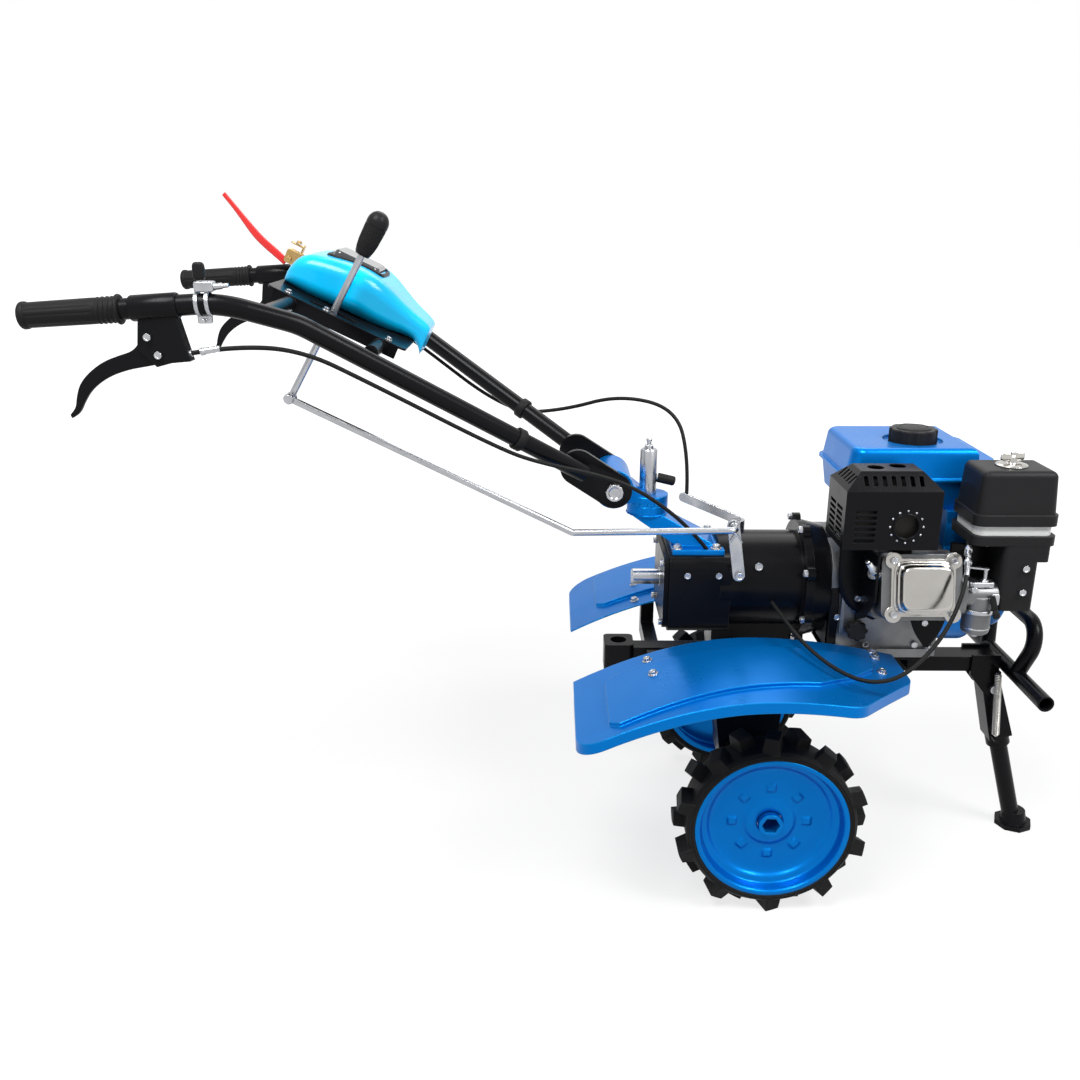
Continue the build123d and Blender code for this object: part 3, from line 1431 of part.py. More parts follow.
# Throttle on the right tube, and the red stop lever with its bracket on the left tube
ring_half = 12.0
ring_radius = handle_radius + 4.0
throttle_at = Vector(*at((-754.0, -288.5, 912.0)))
with BuildPart() as throttle:
    add(round_bar(throttle_at - grip_axis * ring_half, throttle_at + grip_axis * ring_half, ring_radius))
    add(box_between(tuple(throttle_at - Vector(10, 9, 0)), tuple(throttle_at + Vector(14, 9, 34))))
    add(round_bar(throttle_at + Vector(0, 0, 20), throttle_at + Vector(-4, -4, 50), 7))
    add(flipped(handle_solid), mode=Mode.SUBTRACT)
pieces["throttle"] = throttle.part
stop_at = Vector(*at((-762.0, 288.9, 911.4)))
stop_inset = 26.9       # of the red lever from the tube's middle line
stop_half = 3.5
stop_y = stop_at.Y - stop_inset
stop_profile = [
    (-884, 1040), (-878, 1044), (-838, 990), (-806, 952), (-780, 934), (-784, 922), (-812, 938), (-846, 984),
]
stop_profile = [(from_axle(x), z) for x, z in stop_profile]
pieces["stop_lever"] = upright_plate(stop_profile, stop_y - stop_half, 2 * stop_half)
with BuildPart() as stop_bracket:
    add(round_bar(stop_at - grip_axis * ring_half, stop_at + grip_axis * ring_half, ring_radius))
    add(box_between((stop_at.X - 24, stop_y - 9, stop_at.Z + 4), (stop_at.X + 4, stop_at.Y, stop_at.Z + 18)))
    add(box_between((stop_at.X - 24, stop_y - 9, stop_at.Z + 4), (stop_at.X - 2, stop_y + 9, stop_at.Z + 40)))
    add(handle_solid, mode=Mode.SUBTRACT)
    add(pieces["stop_lever"], mode=Mode.SUBTRACT)
pieces["stop_bracket"] = stop_bracket.part

# Control cables
cable_runs = [
    # name, points, bend, piece that its front end meets
    ("clutch_cable", [(-775, 290.5, 852), (-728, 288, 860), (-647, 262, 853), (-566, 222, 803),
                      (-401, 146, 692), (-310, 130, 700), (-219, 96, 732), (-130, 62, 716),
                      (-112, 24, 640), (-114, 20, 576)], 20, "clutch_arm"),
    ("reverse_cable", [(-775, -290.5, 852), (-728, -288, 860), (-647, -262, 853), (-566, -222, 803),
                       (-401, -140, 696), (-346, -121, 672), (-257, -92, 646), (-197, -80, 621),
                       (-118, -62, 558), (-84, -50, 512)], 20, "handle_neck"),
    ("throttle_cable", [(13, -74.8, 440), (34, -150, 416), (64, -228, 404), (102, -276, 400),
                        (144, -282, 408), (182, -266, 430), (216, -246, 462), (240, -228, 506),
                        (256, -200, 548), (280, -125, 569)], 14, "air_intake"),
]
for cable, run, bend, meets in cable_runs:
    whole = sweep_round([at(p) for p in run], cable_radius, bend)
    pieces[cable] = cut(whole, pieces[meets], pieces["gearbox_case"], pieces["lever_brackets"])

for name, piece in pieces.items():
    piece.label = name
    export_step(piece, f"parts/{name}.step")
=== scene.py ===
# %% [markdown]
# # A walk-behind power weeder
#
# The machine is a small petrol engine on a gearbox, with two lugged wheels under blue fenders, a folding
# stand at the nose and long handlebars. The CAD model gives every piece its size and place. Blender adds
# the finishes, the flexible pieces, and the small fittings that a drawing leaves out.

import json

import bmesh
import bpy
import numpy as np
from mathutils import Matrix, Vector


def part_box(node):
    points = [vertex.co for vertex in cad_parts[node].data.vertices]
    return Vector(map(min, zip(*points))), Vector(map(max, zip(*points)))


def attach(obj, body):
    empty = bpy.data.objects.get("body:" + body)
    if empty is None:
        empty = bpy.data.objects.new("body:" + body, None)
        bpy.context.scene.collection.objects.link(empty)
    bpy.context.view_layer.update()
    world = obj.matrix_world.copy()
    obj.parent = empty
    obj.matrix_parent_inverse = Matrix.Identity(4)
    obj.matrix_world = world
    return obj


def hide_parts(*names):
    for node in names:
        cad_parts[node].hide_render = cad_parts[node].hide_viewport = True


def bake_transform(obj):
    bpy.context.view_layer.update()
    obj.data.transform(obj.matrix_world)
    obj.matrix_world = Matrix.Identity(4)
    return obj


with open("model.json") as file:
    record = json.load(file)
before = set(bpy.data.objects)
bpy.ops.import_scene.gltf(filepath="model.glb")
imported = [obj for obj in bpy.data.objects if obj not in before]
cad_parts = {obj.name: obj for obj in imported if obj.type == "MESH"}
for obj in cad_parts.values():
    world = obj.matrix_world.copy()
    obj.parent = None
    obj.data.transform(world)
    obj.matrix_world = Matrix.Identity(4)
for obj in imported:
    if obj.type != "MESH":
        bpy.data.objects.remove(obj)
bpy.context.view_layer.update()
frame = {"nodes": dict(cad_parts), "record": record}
slots = {piece["node"]: piece["material_slot"] for piece in frame["record"]["subparts"]}
print("pieces from the CAD model:", len(frame["nodes"]))

# %% [markdown]
# The photograph was taken from the machine's right, a little above the handlebars. The camera's place and
# lens came from fitting the two wheels and the engine, so the render can be laid over the photograph.

# %% Camera at the photograph's place
camera_data = bpy.data.cameras.new("photo_camera")
camera_data.lens = 34.84
camera_data.sensor_width = 36.0
camera_data.clip_end = 60.0
camera = bpy.data.objects.new("photo_camera", camera_data)
camera.location = (-0.0867, -1.5856, 1.0337)
yaw, pitch = np.radians((-0.55, 18.09))
looking = Vector((np.sin(yaw) * np.cos(pitch), np.cos(yaw) * np.cos(pitch), -np.sin(pitch)))
camera.rotation_euler = looking.to_track_quat("-Z", "Y").to_euler()
bpy.context.scene.collection.objects.link(camera)
bpy.context.scene.camera = camera
bpy.context.scene.view_settings.view_transform = "Standard"
print("camera looks along", [round(v, 3) for v in looking])

# %% [markdown]
# Each new piece is a grid of points from numpy. One function turns a grid into faces, and the others make
# the grids: a profile turned round an axis, or a ring carried along a path. A piece's faces come out of
# index arrays, so no loop runs over its points.

# %% Grids, turned profiles and tubes
merge_distance = 1e-6
sharp_angle = np.radians(40)


def unit(vectors):
    """Each vector divided by its length."""
    vectors = np.asarray(vectors, float)
    return vectors / np.linalg.norm(vectors, axis=-1, keepdims=True)


def full_turn(count):
    """Angles at equal steps of one turn."""
    return np.linspace(0, 2 * np.pi, count, endpoint=False)


def grid_faces(rows, columns, wrap_rows=False, wrap_columns=True):
    """Corner numbers of a grid's four-sided faces: each point with its neighbours in both directions."""
    i = np.arange(rows if wrap_rows else rows - 1)[:, None]
    j = np.arange(columns if wrap_columns else columns - 1)[None, :]
    i_next, j_next = (i + 1) % rows, (j + 1) % columns
    corners = [i * columns + j, i * columns + j_next, i_next * columns + j_next, i_next * columns + j]
    return np.stack(np.broadcast_arrays(*corners), -1).reshape(-1, 4)


def shape_from_grid(points, wrap_rows=False, wrap_columns=True):
    """A grid of points as a shape, which is its points in one list and its faces."""
    points = np.asarray(points, float)
    rows, columns = points.shape[:2]
    return points.reshape(-1, 3), grid_faces(rows, columns, wrap_rows, wrap_columns)


def capped(rings, first, last):
    """Rings in a row as a shape, closed by a point before the first ring and one after the last."""
    ends = [np.broadcast_to(end, (1, rings.shape[1], 3)) for end in (first, last)]
    return shape_from_grid(np.concatenate([ends[0], rings, ends[1]]))


def across(axis):
    """Two directions square to an axis and to each other."""
    axis = unit(axis)
    helper = np.eye(3)[np.argmin(np.abs(axis))]
    first = unit(np.cross(helper, axis))
    return first, np.cross(axis, first)


def circle(axis, count):
    """Unit directions round an axis: cosine and sine of the angle on the two directions across it."""
    first, second = across(axis)
    angle = full_turn(count)[:, None]
    return np.cos(angle) * first + np.sin(angle) * second


def turned(profile, start, axis, sides=32):
    """A profile of heights h and radii r in millimetres, turned round an axis: start + h axis + r circle."""
    profile = np.asarray(profile, float) / 1000
    height, radius = profile[:, :1, None], profile[:, 1:, None]
    return shape_from_grid(np.asarray(start) + height * unit(axis) + radius * circle(axis, sides))


def rings_along(path, run, lean, radius, sides):
    """Each path point plus radius times (cos, sin) in its side and rise directions.

    Side is square to the path's run and to a fixed leaning line, and rise is square to side and run."""
    side = unit(np.cross(run, lean))
    rise = np.cross(side, run)
    angle = full_turn(sides)[None, :, None]
    radius = np.broadcast_to(radius, len(path))[:, None, None]
    return path[:, None] + radius * (np.cos(angle) * side[:, None] + np.sin(angle) * rise[:, None])


def ring_tube(path, radius, sides=12, lean=(0.31, 0.87, 0.38)):
    """A round tube along an open path, with its ends closed."""
    path = np.asarray(path, float)
    run = unit(np.gradient(path, axis=0))
    return capped(rings_along(path, run, lean, radius, sides), path[0], path[-1])


def close_seams(mesh):
    """Points at the same place become one, and all faces are turned outwards."""
    work = bmesh.new()
    work.from_mesh(mesh)
    bmesh.ops.remove_doubles(work, verts=work.verts, dist=merge_distance)
    bmesh.ops.recalc_face_normals(work, faces=work.faces)
    work.to_mesh(mesh)
    work.free()


def made_piece(name, shapes, body, slot):
    """Shapes joined into one mesh object with the finish of a slot, riding on a body if one is given."""
    starts = np.cumsum([0] + [len(points) for points, _ in shapes])
    points = np.concatenate([points for points, _ in shapes])
    faces = np.concatenate([corners + start for (_, corners), start in zip(shapes, starts)])
    mesh = bpy.data.meshes.new(name)
    mesh.from_pydata(points.tolist(), [], faces.tolist())
    piece = bpy.data.objects.new(name, mesh)
    bpy.context.scene.collection.objects.link(piece)
    close_seams(mesh)
    mesh.shade_smooth()
    mesh.set_sharp_from_angle(angle=sharp_angle)
    mesh.materials.append(finishes[slot])
    if body:
        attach(piece, body)
    print(f"{name}: {len(mesh.polygons)} faces")
    return piece


print("faces of a grid of 3 by 4 points that closes round:", len(grid_faces(3, 4)))

# %% [markdown]
# Two effects serve nearly every finish, so each is a shader group. The first rounds hard CAD edges in the
# shading and gives a mask of them, where paint is thin and metal is rubbed bright, and where a painted
# highlight lightens them. The second is a fine grain at two sizes, for the orange-peel of paint, the skin of
# castings and the bloom of rubber.

# %% Shader groups: soft edges and fine grain


def feed(tree, node, inputs):
    """Fills a node's inputs: a socket is linked to its input, and a plain value is set on it."""
    for title, value in inputs.items():
        if isinstance(value, bpy.types.NodeSocket):
            tree.links.new(value, node.inputs[title])
        else:
            node.inputs[title].default_value = value


def add_node(tree, kind, inputs, **settings):
    """A new shader node's outputs, after its settings and then its inputs are filled."""
    node = tree.nodes.new("ShaderNode" + kind)
    for name, value in settings.items():
        setattr(node, name, value)
    feed(tree, node, inputs)
    return node.outputs


def new_group(name, inputs, outputs):
    """An empty shader group with number inputs and the named outputs, its given values and its end node."""
    group = bpy.data.node_groups.new(name, "ShaderNodeTree")
    for title, value in inputs.items():
        socket = group.interface.new_socket(title, in_out="INPUT", socket_type="NodeSocketFloat")
        socket.default_value = value
    for title, kind in outputs.items():
        group.interface.new_socket(title, in_out="OUTPUT", socket_type=kind)
    return group, group.nodes.new("NodeGroupInput").outputs, group.nodes.new("NodeGroupOutput")


def soft_edge_group():
    """Normals rounded over a radius, and a mask from how far they lean away from the plain normals."""
    group, given, end = new_group(
        "soft_edge", {"Radius": 0.0015}, {"Normal": "NodeSocketVector", "Edge": "NodeSocketFloat"}
    )
    bevel = add_node(group, "Bevel", {"Radius": given["Radius"]}, samples=4)
    plain = add_node(group, "NewGeometry", {})
    dot = add_node(group, "VectorMath", {0: bevel["Normal"], 1: plain["Normal"]}, operation="DOT_PRODUCT")
    spread = add_node(group, "MapRange", {"Value": dot["Value"], "From Min": 0.995, "From Max": 0.86})
    feed(group, end, {"Normal": bevel["Normal"], "Edge": spread["Result"]})
    return group


def fine_grain_group():
    """Noise at a fine and a broad scale in the piece's own coordinates: one for bumps, one for patches."""
    group, given, end = new_group(
        "fine_grain",
        {"Fine Scale": 600.0, "Broad Scale": 14.0},
        {"Height": "NodeSocketFloat", "Patches": "NodeSocketFloat"},
    )
    place = add_node(group, "TexCoord", {})["Object"]
    for scale, detail, result in (("Fine Scale", 3.0, "Height"), ("Broad Scale", 4.0, "Patches")):
        noise = add_node(group, "TexNoise", {"Vector": place, "Scale": given[scale], "Detail": detail})
        feed(group, end, {result: noise["Fac"]})
    return group


soft_edge = soft_edge_group()
fine_grain = fine_grain_group()
print("shader groups:", soft_edge.name, fine_grain.name)

# %% [markdown]
# The finishes differ in colour, gloss and grain, so one function builds them from a few values: a colour
# and a darker tone that patches drift between, the tone of edges, which is partly wear and partly a painted
# highlight, the roughness and the grain's size and depth. Glossy paint and plastic have a clear coat, and
# bare metal has none.

# %% The finishes


def finish(name, tones, rough, grain, edge, edge_radius=0.0012, metal=0.0, coat=0.0, specular=0.5):
    """A Principled material: two tones in patches, a third on edges as wear and painted highlight, and a
    grain bump.

    tones is (main, drift, edge colour), edge is the share of the edge colour, rough is (lowest, highest) and
    grain is (scale, depth in mm, patch scale)."""
    material = bpy.data.materials.new(name)
    material.use_nodes = True
    tree = material.node_tree
    main_tone, drift_tone, edge_tone = ((*tone, 1.0) for tone in tones)
    fine_scale, depth, patch_scale = grain
    edges = add_node(tree, "Group", {"Radius": edge_radius}, node_tree=soft_edge)
    scales = {"Fine Scale": fine_scale, "Broad Scale": patch_scale}
    skin = add_node(tree, "Group", scales, node_tree=fine_grain)
    drift = add_node(
        tree, "Mix", {"Factor": skin["Patches"], "A": main_tone, "B": drift_tone}, data_type="RGBA"
    )
    # The edge tone is partly wear and partly a painted highlight that lightens every edge.
    amount = add_node(tree, "Math", {0: edges["Edge"], 1: edge}, operation="MULTIPLY")
    edge_wear_and_highlight = add_node(
        tree, "Mix", {"Factor": amount["Value"], "A": drift["Result"], "B": edge_tone}, data_type="RGBA"
    )
    gloss = add_node(tree, "MapRange", {
        "Value": skin["Patches"], "From Min": 0.3, "From Max": 0.7, "To Min": rough[0], "To Max": rough[1],
    })
    bump = add_node(tree, "Bump", {
        "Strength": 1.0, "Distance": depth / 1000, "Height": skin["Height"], "Normal": edges["Normal"],
    })
    feed(tree, tree.nodes["Principled BSDF"], {
        "Base Color": edge_wear_and_highlight["Result"], "Roughness": gloss["Result"], "Normal": bump["Normal"],
        "Metallic": metal, "Coat Weight": coat, "Coat Roughness": 0.06, "Specular IOR Level": specular,
    })
    return material


# Each third tone is the edge colour: partly wear, partly a painted highlight.
finish_values = {
    "blue_paint": dict(
        tones=[(0.0, 0.17, 0.56), (0.0, 0.14, 0.48), (0.01, 0.36, 0.8)], rough=(0.26, 0.36),
        grain=(900, 0.012, 9), edge=0.5, edge_radius=0.003, metal=0.6, coat=0.03, specular=0.06,
    ),
    "blue_plastic": dict(
        tones=[(0.0, 0.55, 0.96), (0.0, 0.5, 0.92), (0.02, 0.68, 0.98)], rough=(0.18, 0.26),
        grain=(500, 0.006, 7), edge=0.3, edge_radius=0.002, coat=0.14, specular=0.25,
    ),
    "black_paint": dict(
        tones=[(0.003, 0.003, 0.004), (0.006, 0.006, 0.007), (0.02, 0.02, 0.022)], rough=(0.18, 0.32),
        grain=(700, 0.015, 12), edge=0.4, edge_radius=0.0018, specular=0.09,
    ),
    "black_plastic": dict(
        tones=[(0.011, 0.011, 0.012), (0.016, 0.016, 0.017), (0.04, 0.04, 0.04)], rough=(0.34, 0.48),
        grain=(1500, 0.03, 10), edge=0.4, edge_radius=0.002, specular=0.1,
    ),
    "black_rubber": dict(
        tones=[(0.007, 0.007, 0.007), (0.012, 0.012, 0.012), (0.03, 0.03, 0.03)], rough=(0.45, 0.65),
        grain=(1200, 0.03, 20), edge=0.3, edge_radius=0.001, specular=0.12,
    ),
    "tyre": dict(
        tones=[(0.007, 0.007, 0.008), (0.014, 0.014, 0.014), (0.05, 0.05, 0.048)], rough=(0.5, 0.7),
        grain=(800, 0.08, 22), edge=0.5, edge_radius=0.003, specular=0.09,
    ),
    "cast_alloy": dict(
        tones=[(0.2, 0.205, 0.21), (0.12, 0.122, 0.125), (0.42, 0.42, 0.43)], rough=(0.36, 0.52),
        grain=(900, 0.12, 30), edge=0.6, edge_radius=0.0015, metal=0.9,
    ),
    "bright_steel": dict(
        tones=[(0.54, 0.525, 0.49), (0.4, 0.385, 0.365), (0.76, 0.75, 0.73)], rough=(0.12, 0.24),
        grain=(700, 0.02, 16), edge=0.4, edge_radius=0.002, metal=1.0,
    ),
    "dark_steel": dict(
        tones=[(0.03, 0.028, 0.026), (0.016, 0.015, 0.014), (0.1, 0.095, 0.09)], rough=(0.45, 0.6),
        grain=(600, 0.05, 30), edge=0.5, metal=0.7,
    ),
    "zinc": dict(
        tones=[(0.5, 0.51, 0.53), (0.32, 0.33, 0.35), (0.76, 0.76, 0.76)], rough=(0.2, 0.36),
        grain=(800, 0.02, 60), edge=0.5, edge_radius=0.001, metal=1.0,
    ),
    "yellow_zinc": dict(
        tones=[(0.56, 0.36, 0.12), (0.4, 0.28, 0.14), (0.78, 0.6, 0.3)], rough=(0.26, 0.4),
        grain=(800, 0.02, 70), edge=0.5, edge_radius=0.001, metal=1.0,
    ),
    "pale_plastic": dict(
        tones=[(0.82, 0.83, 0.82), (0.74, 0.75, 0.74), (0.86, 0.86, 0.86)], rough=(0.3, 0.42),
        grain=(900, 0.02, 24), edge=0.3, edge_radius=0.0015,
    ),
    "red_plastic": dict(
        tones=[(0.72, 0.018, 0.015), (0.6, 0.012, 0.012), (0.85, 0.08, 0.06)], rough=(0.25, 0.35),
        grain=(700, 0.02, 20), edge=0.4, edge_radius=0.001, coat=0.3,
    ),
    "smoked_window": dict(
        tones=[(0.02, 0.022, 0.026), (0.03, 0.032, 0.036), (0.08, 0.08, 0.09)], rough=(0.08, 0.14),
        grain=(300, 0.002, 9), edge=0.3, edge_radius=0.001, coat=0.6,
    ),
}
finishes = {name: finish(name, **values) for name, values in finish_values.items()}
for node, slot in slots.items():
    materials = frame["nodes"][node].data.materials
    materials.clear()
    materials.append(finishes[slot])
print("finishes:", ", ".join(finishes))

# %% [markdown]
# The drawing's sizes are millimetres from the wheel axle and the ground. One helper turns them into metres
# in the machine's frame, one mirrors a right-hand shape for the left side, and one smooths a measured
# outline by cutting its corners. Small fittings sit on the machine by a ray that finds the CAD surface.

# %% Places on the machine
axle_ahead, axle_height = 245, 144
crank_height = 455
ahead, leftward, upward = np.eye(3)


def from_axle(points):
    """Millimetres ahead of the axle, to the left and above the ground, as metres in the machine's frame."""
    return (np.asarray(points, float) + (axle_ahead, 0, 0)) / 1000


def in_plane(outline, y):
    """An outline of x and z in millimetres, standing in the upright plane at a distance y to the left."""
    return from_axle(np.insert(np.asarray(outline, float), 1, y, axis=1))


def mirrored(shape):
    """The same shape on the machine's other side."""
    points, faces = shape
    return points * (1, -1, 1), faces


def smoothed(line, rounds=3):
    """Corner cutting: each run keeps a point a quarter of the way from either end, a few times over."""
    line = np.asarray(line, float)
    for _ in range(rounds):
        near, far = line[:-1], line[1:]
        inner = np.stack([0.75 * near + 0.25 * far, 0.25 * near + 0.75 * far], 1)
        line = np.concatenate([line[:1], inner.reshape(-1, line.shape[1]), line[-1:]])
    return line


def evenly(line, count):
    """A line read again at equal steps of its length."""
    steps = np.concatenate([[0], np.cumsum(np.linalg.norm(np.diff(line, axis=0), axis=1))])
    wanted = np.linspace(0, steps[-1], count)
    return np.stack([np.interp(wanted, steps, line[:, k]) for k in range(line.shape[1])], -1)


def seat(node, start, direction):
    """Where a ray from a place in the air meets a CAD piece, with the surface's outward direction."""
    hit, place, normal, _ = frame["nodes"][node].ray_cast(Vector(start), Vector(direction))
    if not hit:
        raise ValueError(f"no surface of {node} on the ray from {start}")
    return np.array(place), np.array(normal)


print("axle in the machine's frame:", from_axle((0, 0, axle_height)))

# %% [markdown]
# Bolts hold the real machine together and catch the light all over it. A hexagon head is a few rings: its
# radius at an angle is the distance to the flat of a hexagon, and a chamfer takes the smaller of that and a
# circle. Heads that point up sit on washers, and those on upright faces are bare. All bolts of a body are
# one mesh, which is lighter than an object for each.

# %% Bolts
bolt_sides = 24


def bolt_rings(washer):
    """Heights and radii of a chamfered hexagon head with a dished top, for a corner radius of one.

    At an angle t from the middle of a flat, the flat lies at cos 30 / cos t."""
    angle = full_turn(bolt_sides)
    flat = np.cos(np.pi / 6) / np.cos(angle % (np.pi / 3) - np.pi / 6)
    foot = [(0.0, 1.32), (0.2, 1.32)] if washer else [(0.0, 0.98 * flat)]
    head = [(0.22, 0.98 * flat), (0.8, 0.98 * flat), (0.95, np.minimum(flat, 0.88)), (0.95, 0.66)]
    dish = [(0.84, 0.54), (0.84, 0.0)]
    heights, radii = zip((0.0, 0.0), *foot, *head, *dish)
    return np.array(heights), np.stack([np.broadcast_to(radius, angle.shape) for radius in radii])


def bolts(seats, size):
    """Hexagon bolts of a corner radius at the given seats, each a place and the direction its head points."""
    shapes = []
    for place, axis in seats:
        heights, radii = bolt_rings(washer=unit(axis)[2] > 0.5)
        rings = heights[:, None, None] * unit(axis) + radii[..., None] * circle(axis, bolt_sides)
        shapes.append(shape_from_grid(np.asarray(place) + size * rings))
    return shapes


def facing(axis, places):
    """Seats at places in millimetres from the axle, whose heads all point one way."""
    return [(place, axis) for place in from_axle(places)]


cylinder_slope = np.radians(15)
cylinder_axis = np.array((0.0, -np.cos(cylinder_slope), np.sin(cylinder_slope)))
cylinder_up = np.cross(ahead, cylinder_axis)
cylinder_middle = from_axle((207, 0, crank_height))
cover_starts = [
    cylinder_middle + 0.24 * cylinder_axis + (along, 0, 0) + rise * cylinder_up
    for along in (-0.043, 0.043) for rise in (-0.039, 0.039)
]
cover_seats = [(seat("valve_cover", start, -cylinder_axis)[0], cylinder_axis) for start in cover_starts]
bell_turns = np.radians(22.5 + 45 * np.arange(8))
bell_places = [(60, 98 * np.cos(turn), crank_height + 98 * np.sin(turn)) for turn in bell_turns]
fender_spots = [(-182, 126), (-179, 188), (164, 108), (162, 130), (156, 184)]
fender_seats = [
    seat(node, from_axle((x, side * y, 500)), -upward)
    for side, node in ((-1, "fender_right"), (1, "fender_left")) for x, y in fender_spots
]
side_spots = [
    ("gearbox_case", -120, 484), ("gearbox_case", -72, 484), ("crankcase", 236, 374), ("crankcase", 160, 374),
    ("crankcase", 112, 420), ("air_intake", 350, 494), ("air_intake", 350, 530),
]
side_seats = [seat(node, from_axle((x, -400, z)), leftward) for node, x, z in side_spots]
rear_cover_places = [(-155, y, z) for y in (-58, 58) for z in (400, 498)]
neck_base_places = [(x, y, 519) for x in (-134, -74) for y in (-50, 50)]
engine_foot_places = [(x, y, 368) for x in (112, 258) for y in (-85, 95)]
shift_arm_places = [(-46, -101, 493), (-58, -101, 571)]
stand_pin_seats = [(from_axle((396, side * 26.8, 272)), side * leftward) for side in (-1, 1)]
chassis_bolts = [
    *bolts(cover_seats, size=0.0055),
    *bolts(facing(-ahead, bell_places), size=0.0062),
    *bolts(facing(-ahead, rear_cover_places), size=0.0055),
    *bolts(fender_seats, size=0.0058),
    *bolts(facing(upward, neck_base_places), size=0.0066),
    *bolts(facing(upward, engine_foot_places), size=0.0062),
    *bolts(facing(-leftward, shift_arm_places), size=0.0066),
    *bolts(stand_pin_seats, size=0.0085),
    *bolts(side_seats, size=0.0055),
]
made_piece("chassis_fasteners", chassis_bolts, "chassis", "zinc")

# %% [markdown]
# The grips are moulded rubber sleeves with an end cap, shallow flutes along the palm and three rings by the
# inner flange. A bump in the material could hint at them, but here the radius is a function of the place
# along the grip and the angle round it, so the flutes show in the outline too.

# %% Grips
bar_radius = 13.1
tube_bend = from_axle((-736, 288, 913))
tube_end = from_axle((-962, 296, 899))
tube_axis = unit(tube_end - tube_bend)
grip_length = 0.124
grip_start = tube_end + tube_axis * (0.016 - grip_length)


def grip_shape():
    """Radius = sleeve + rings near the flange + flutes, faded in between the rings and the end cap."""
    along = np.concatenate([np.linspace(0, 30, 46), np.linspace(30.5, 114, 40), np.linspace(114.5, 124, 16)])
    angle = full_turn(96)
    sleeve = 16.0 - 0.006 * along
    flange = np.where(along < 5, 2.6 * np.sqrt(np.clip(1 - ((along - 2.5) / 2.5) ** 2, 0, 1)), 0)
    rings = np.where((along > 9) & (along < 27), 0.7 * np.cos((along - 9) * 2 * np.pi / 6), 0)
    cap = np.where(along > 114, 1.6 * np.sqrt(np.clip(1 - ((along - 118.5) / 5.6) ** 2, 0, 1)), 0)
    fade = np.clip((along - 30) / 4, 0, 1) * np.clip((114 - along) / 4, 0, 1)
    flutes = 0.75 * np.abs(np.cos(7 * angle)) ** 0.5
    radius = (sleeve + flange + rings + cap)[:, None] + fade[:, None] * (flutes[None] - 0.5)
    round_off = np.sqrt(np.clip(1 - np.clip((along - 119) / 5.2, 0, 1) ** 2, 0, 1))
    radius = radius * (0.55 + 0.45 * round_off[:, None])
    ring = circle(tube_axis, len(angle))
    points = grip_start + along[:, None, None] / 1000 * tube_axis + radius[..., None] / 1000 * ring
    inner = grip_start + bar_radius / 1000 * ring[None]
    return capped(np.concatenate([inner, points]), grip_start, grip_start + grip_length * tube_axis)


grip_left = grip_shape()
grips = made_piece("rubber_grips", [grip_left, mirrored(grip_left)], "handlebars", "black_rubber")
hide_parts("grips")

# %% [markdown]
# The shift knob is a turned plastic handle with fine ribs for the palm and a smooth dome above them. Thin
# boxes could stand on it as ribs, but a cosine of the angle, faded out toward the dome and the neck, gives
# the soft ribs of a moulding in one surface.

# %% Shift knob
lever_low = from_axle((-700, -112, 765))
lever_top = from_axle((-572, -112, 990))
lever_axis = unit(lever_top - lever_low)
knob_start = lever_top - 0.034 * lever_axis
knob_length = 0.064


def knob_shape():
    """Radius = a tapered body under a dome, plus ribs of half a millimetre that are faded at both ends."""
    along = np.linspace(0, 1, 60)
    angle = full_turn(144)
    body = np.interp(along, [0, 0.05, 0.3, 0.66, 0.7, 0.86], [9.5, 11.2, 13.6, 14.6, 15.2, 14.8])
    dome = np.sqrt(np.clip(1 - np.clip((along - 0.76) / 0.24, 0, 1) ** 2, 0, 1))
    fade = np.clip((along - 0.08) / 0.06, 0, 1) * np.clip((0.68 - along) / 0.04, 0, 1)
    ribs = 0.45 * np.cos(36 * angle)[None] * fade[:, None]
    radius = ((body * dome)[:, None] + ribs) / 1000
    ring = circle(lever_axis, len(angle))
    points = knob_start + knob_length * along[:, None, None] * lever_axis + radius[..., None] * ring
    foot = [knob_start + inner * ring[None] for inner in (0, 0.0052)]
    return shape_from_grid(np.concatenate([*foot, points]))


knob = made_piece("ribbed_knob", [knob_shape()], "handlebars", "black_plastic")
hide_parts("shift_knob")

# %% [markdown]
# The hand levers and the red stop lever are flat castings with soft edges that widen and curl. A bevelled
# curve has one width, so each is a closed ring carried from one end to the other instead: the ring spans
# the measured upper and lower edges, and a power of the sine and cosine squares it up.

# %% Hand levers and stop lever


def soft_power(value, power=0.45):
    """The value's size raised to a power, with its sign kept, which squares up a circle."""
    return np.sign(value) * np.abs(value) ** power


def lever_shape(upper, lower, y, half_thickness, count=64, sides=28):
    """Rings between two edge lines: middle + half width times the squared cosine + depth times the sine."""
    upper, lower = (in_plane(evenly(smoothed(edge), count), y) for edge in (upper, lower))
    middle, half_width = (upper + lower) / 2, (upper - lower) / 2
    angle = full_turn(sides)[:, None]
    sideways = half_thickness / 1000 * leftward * soft_power(np.sin(angle))
    rings = middle[:, None] + half_width[:, None] * soft_power(np.cos(angle)) + sideways
    return capped(rings, middle[0], middle[-1])


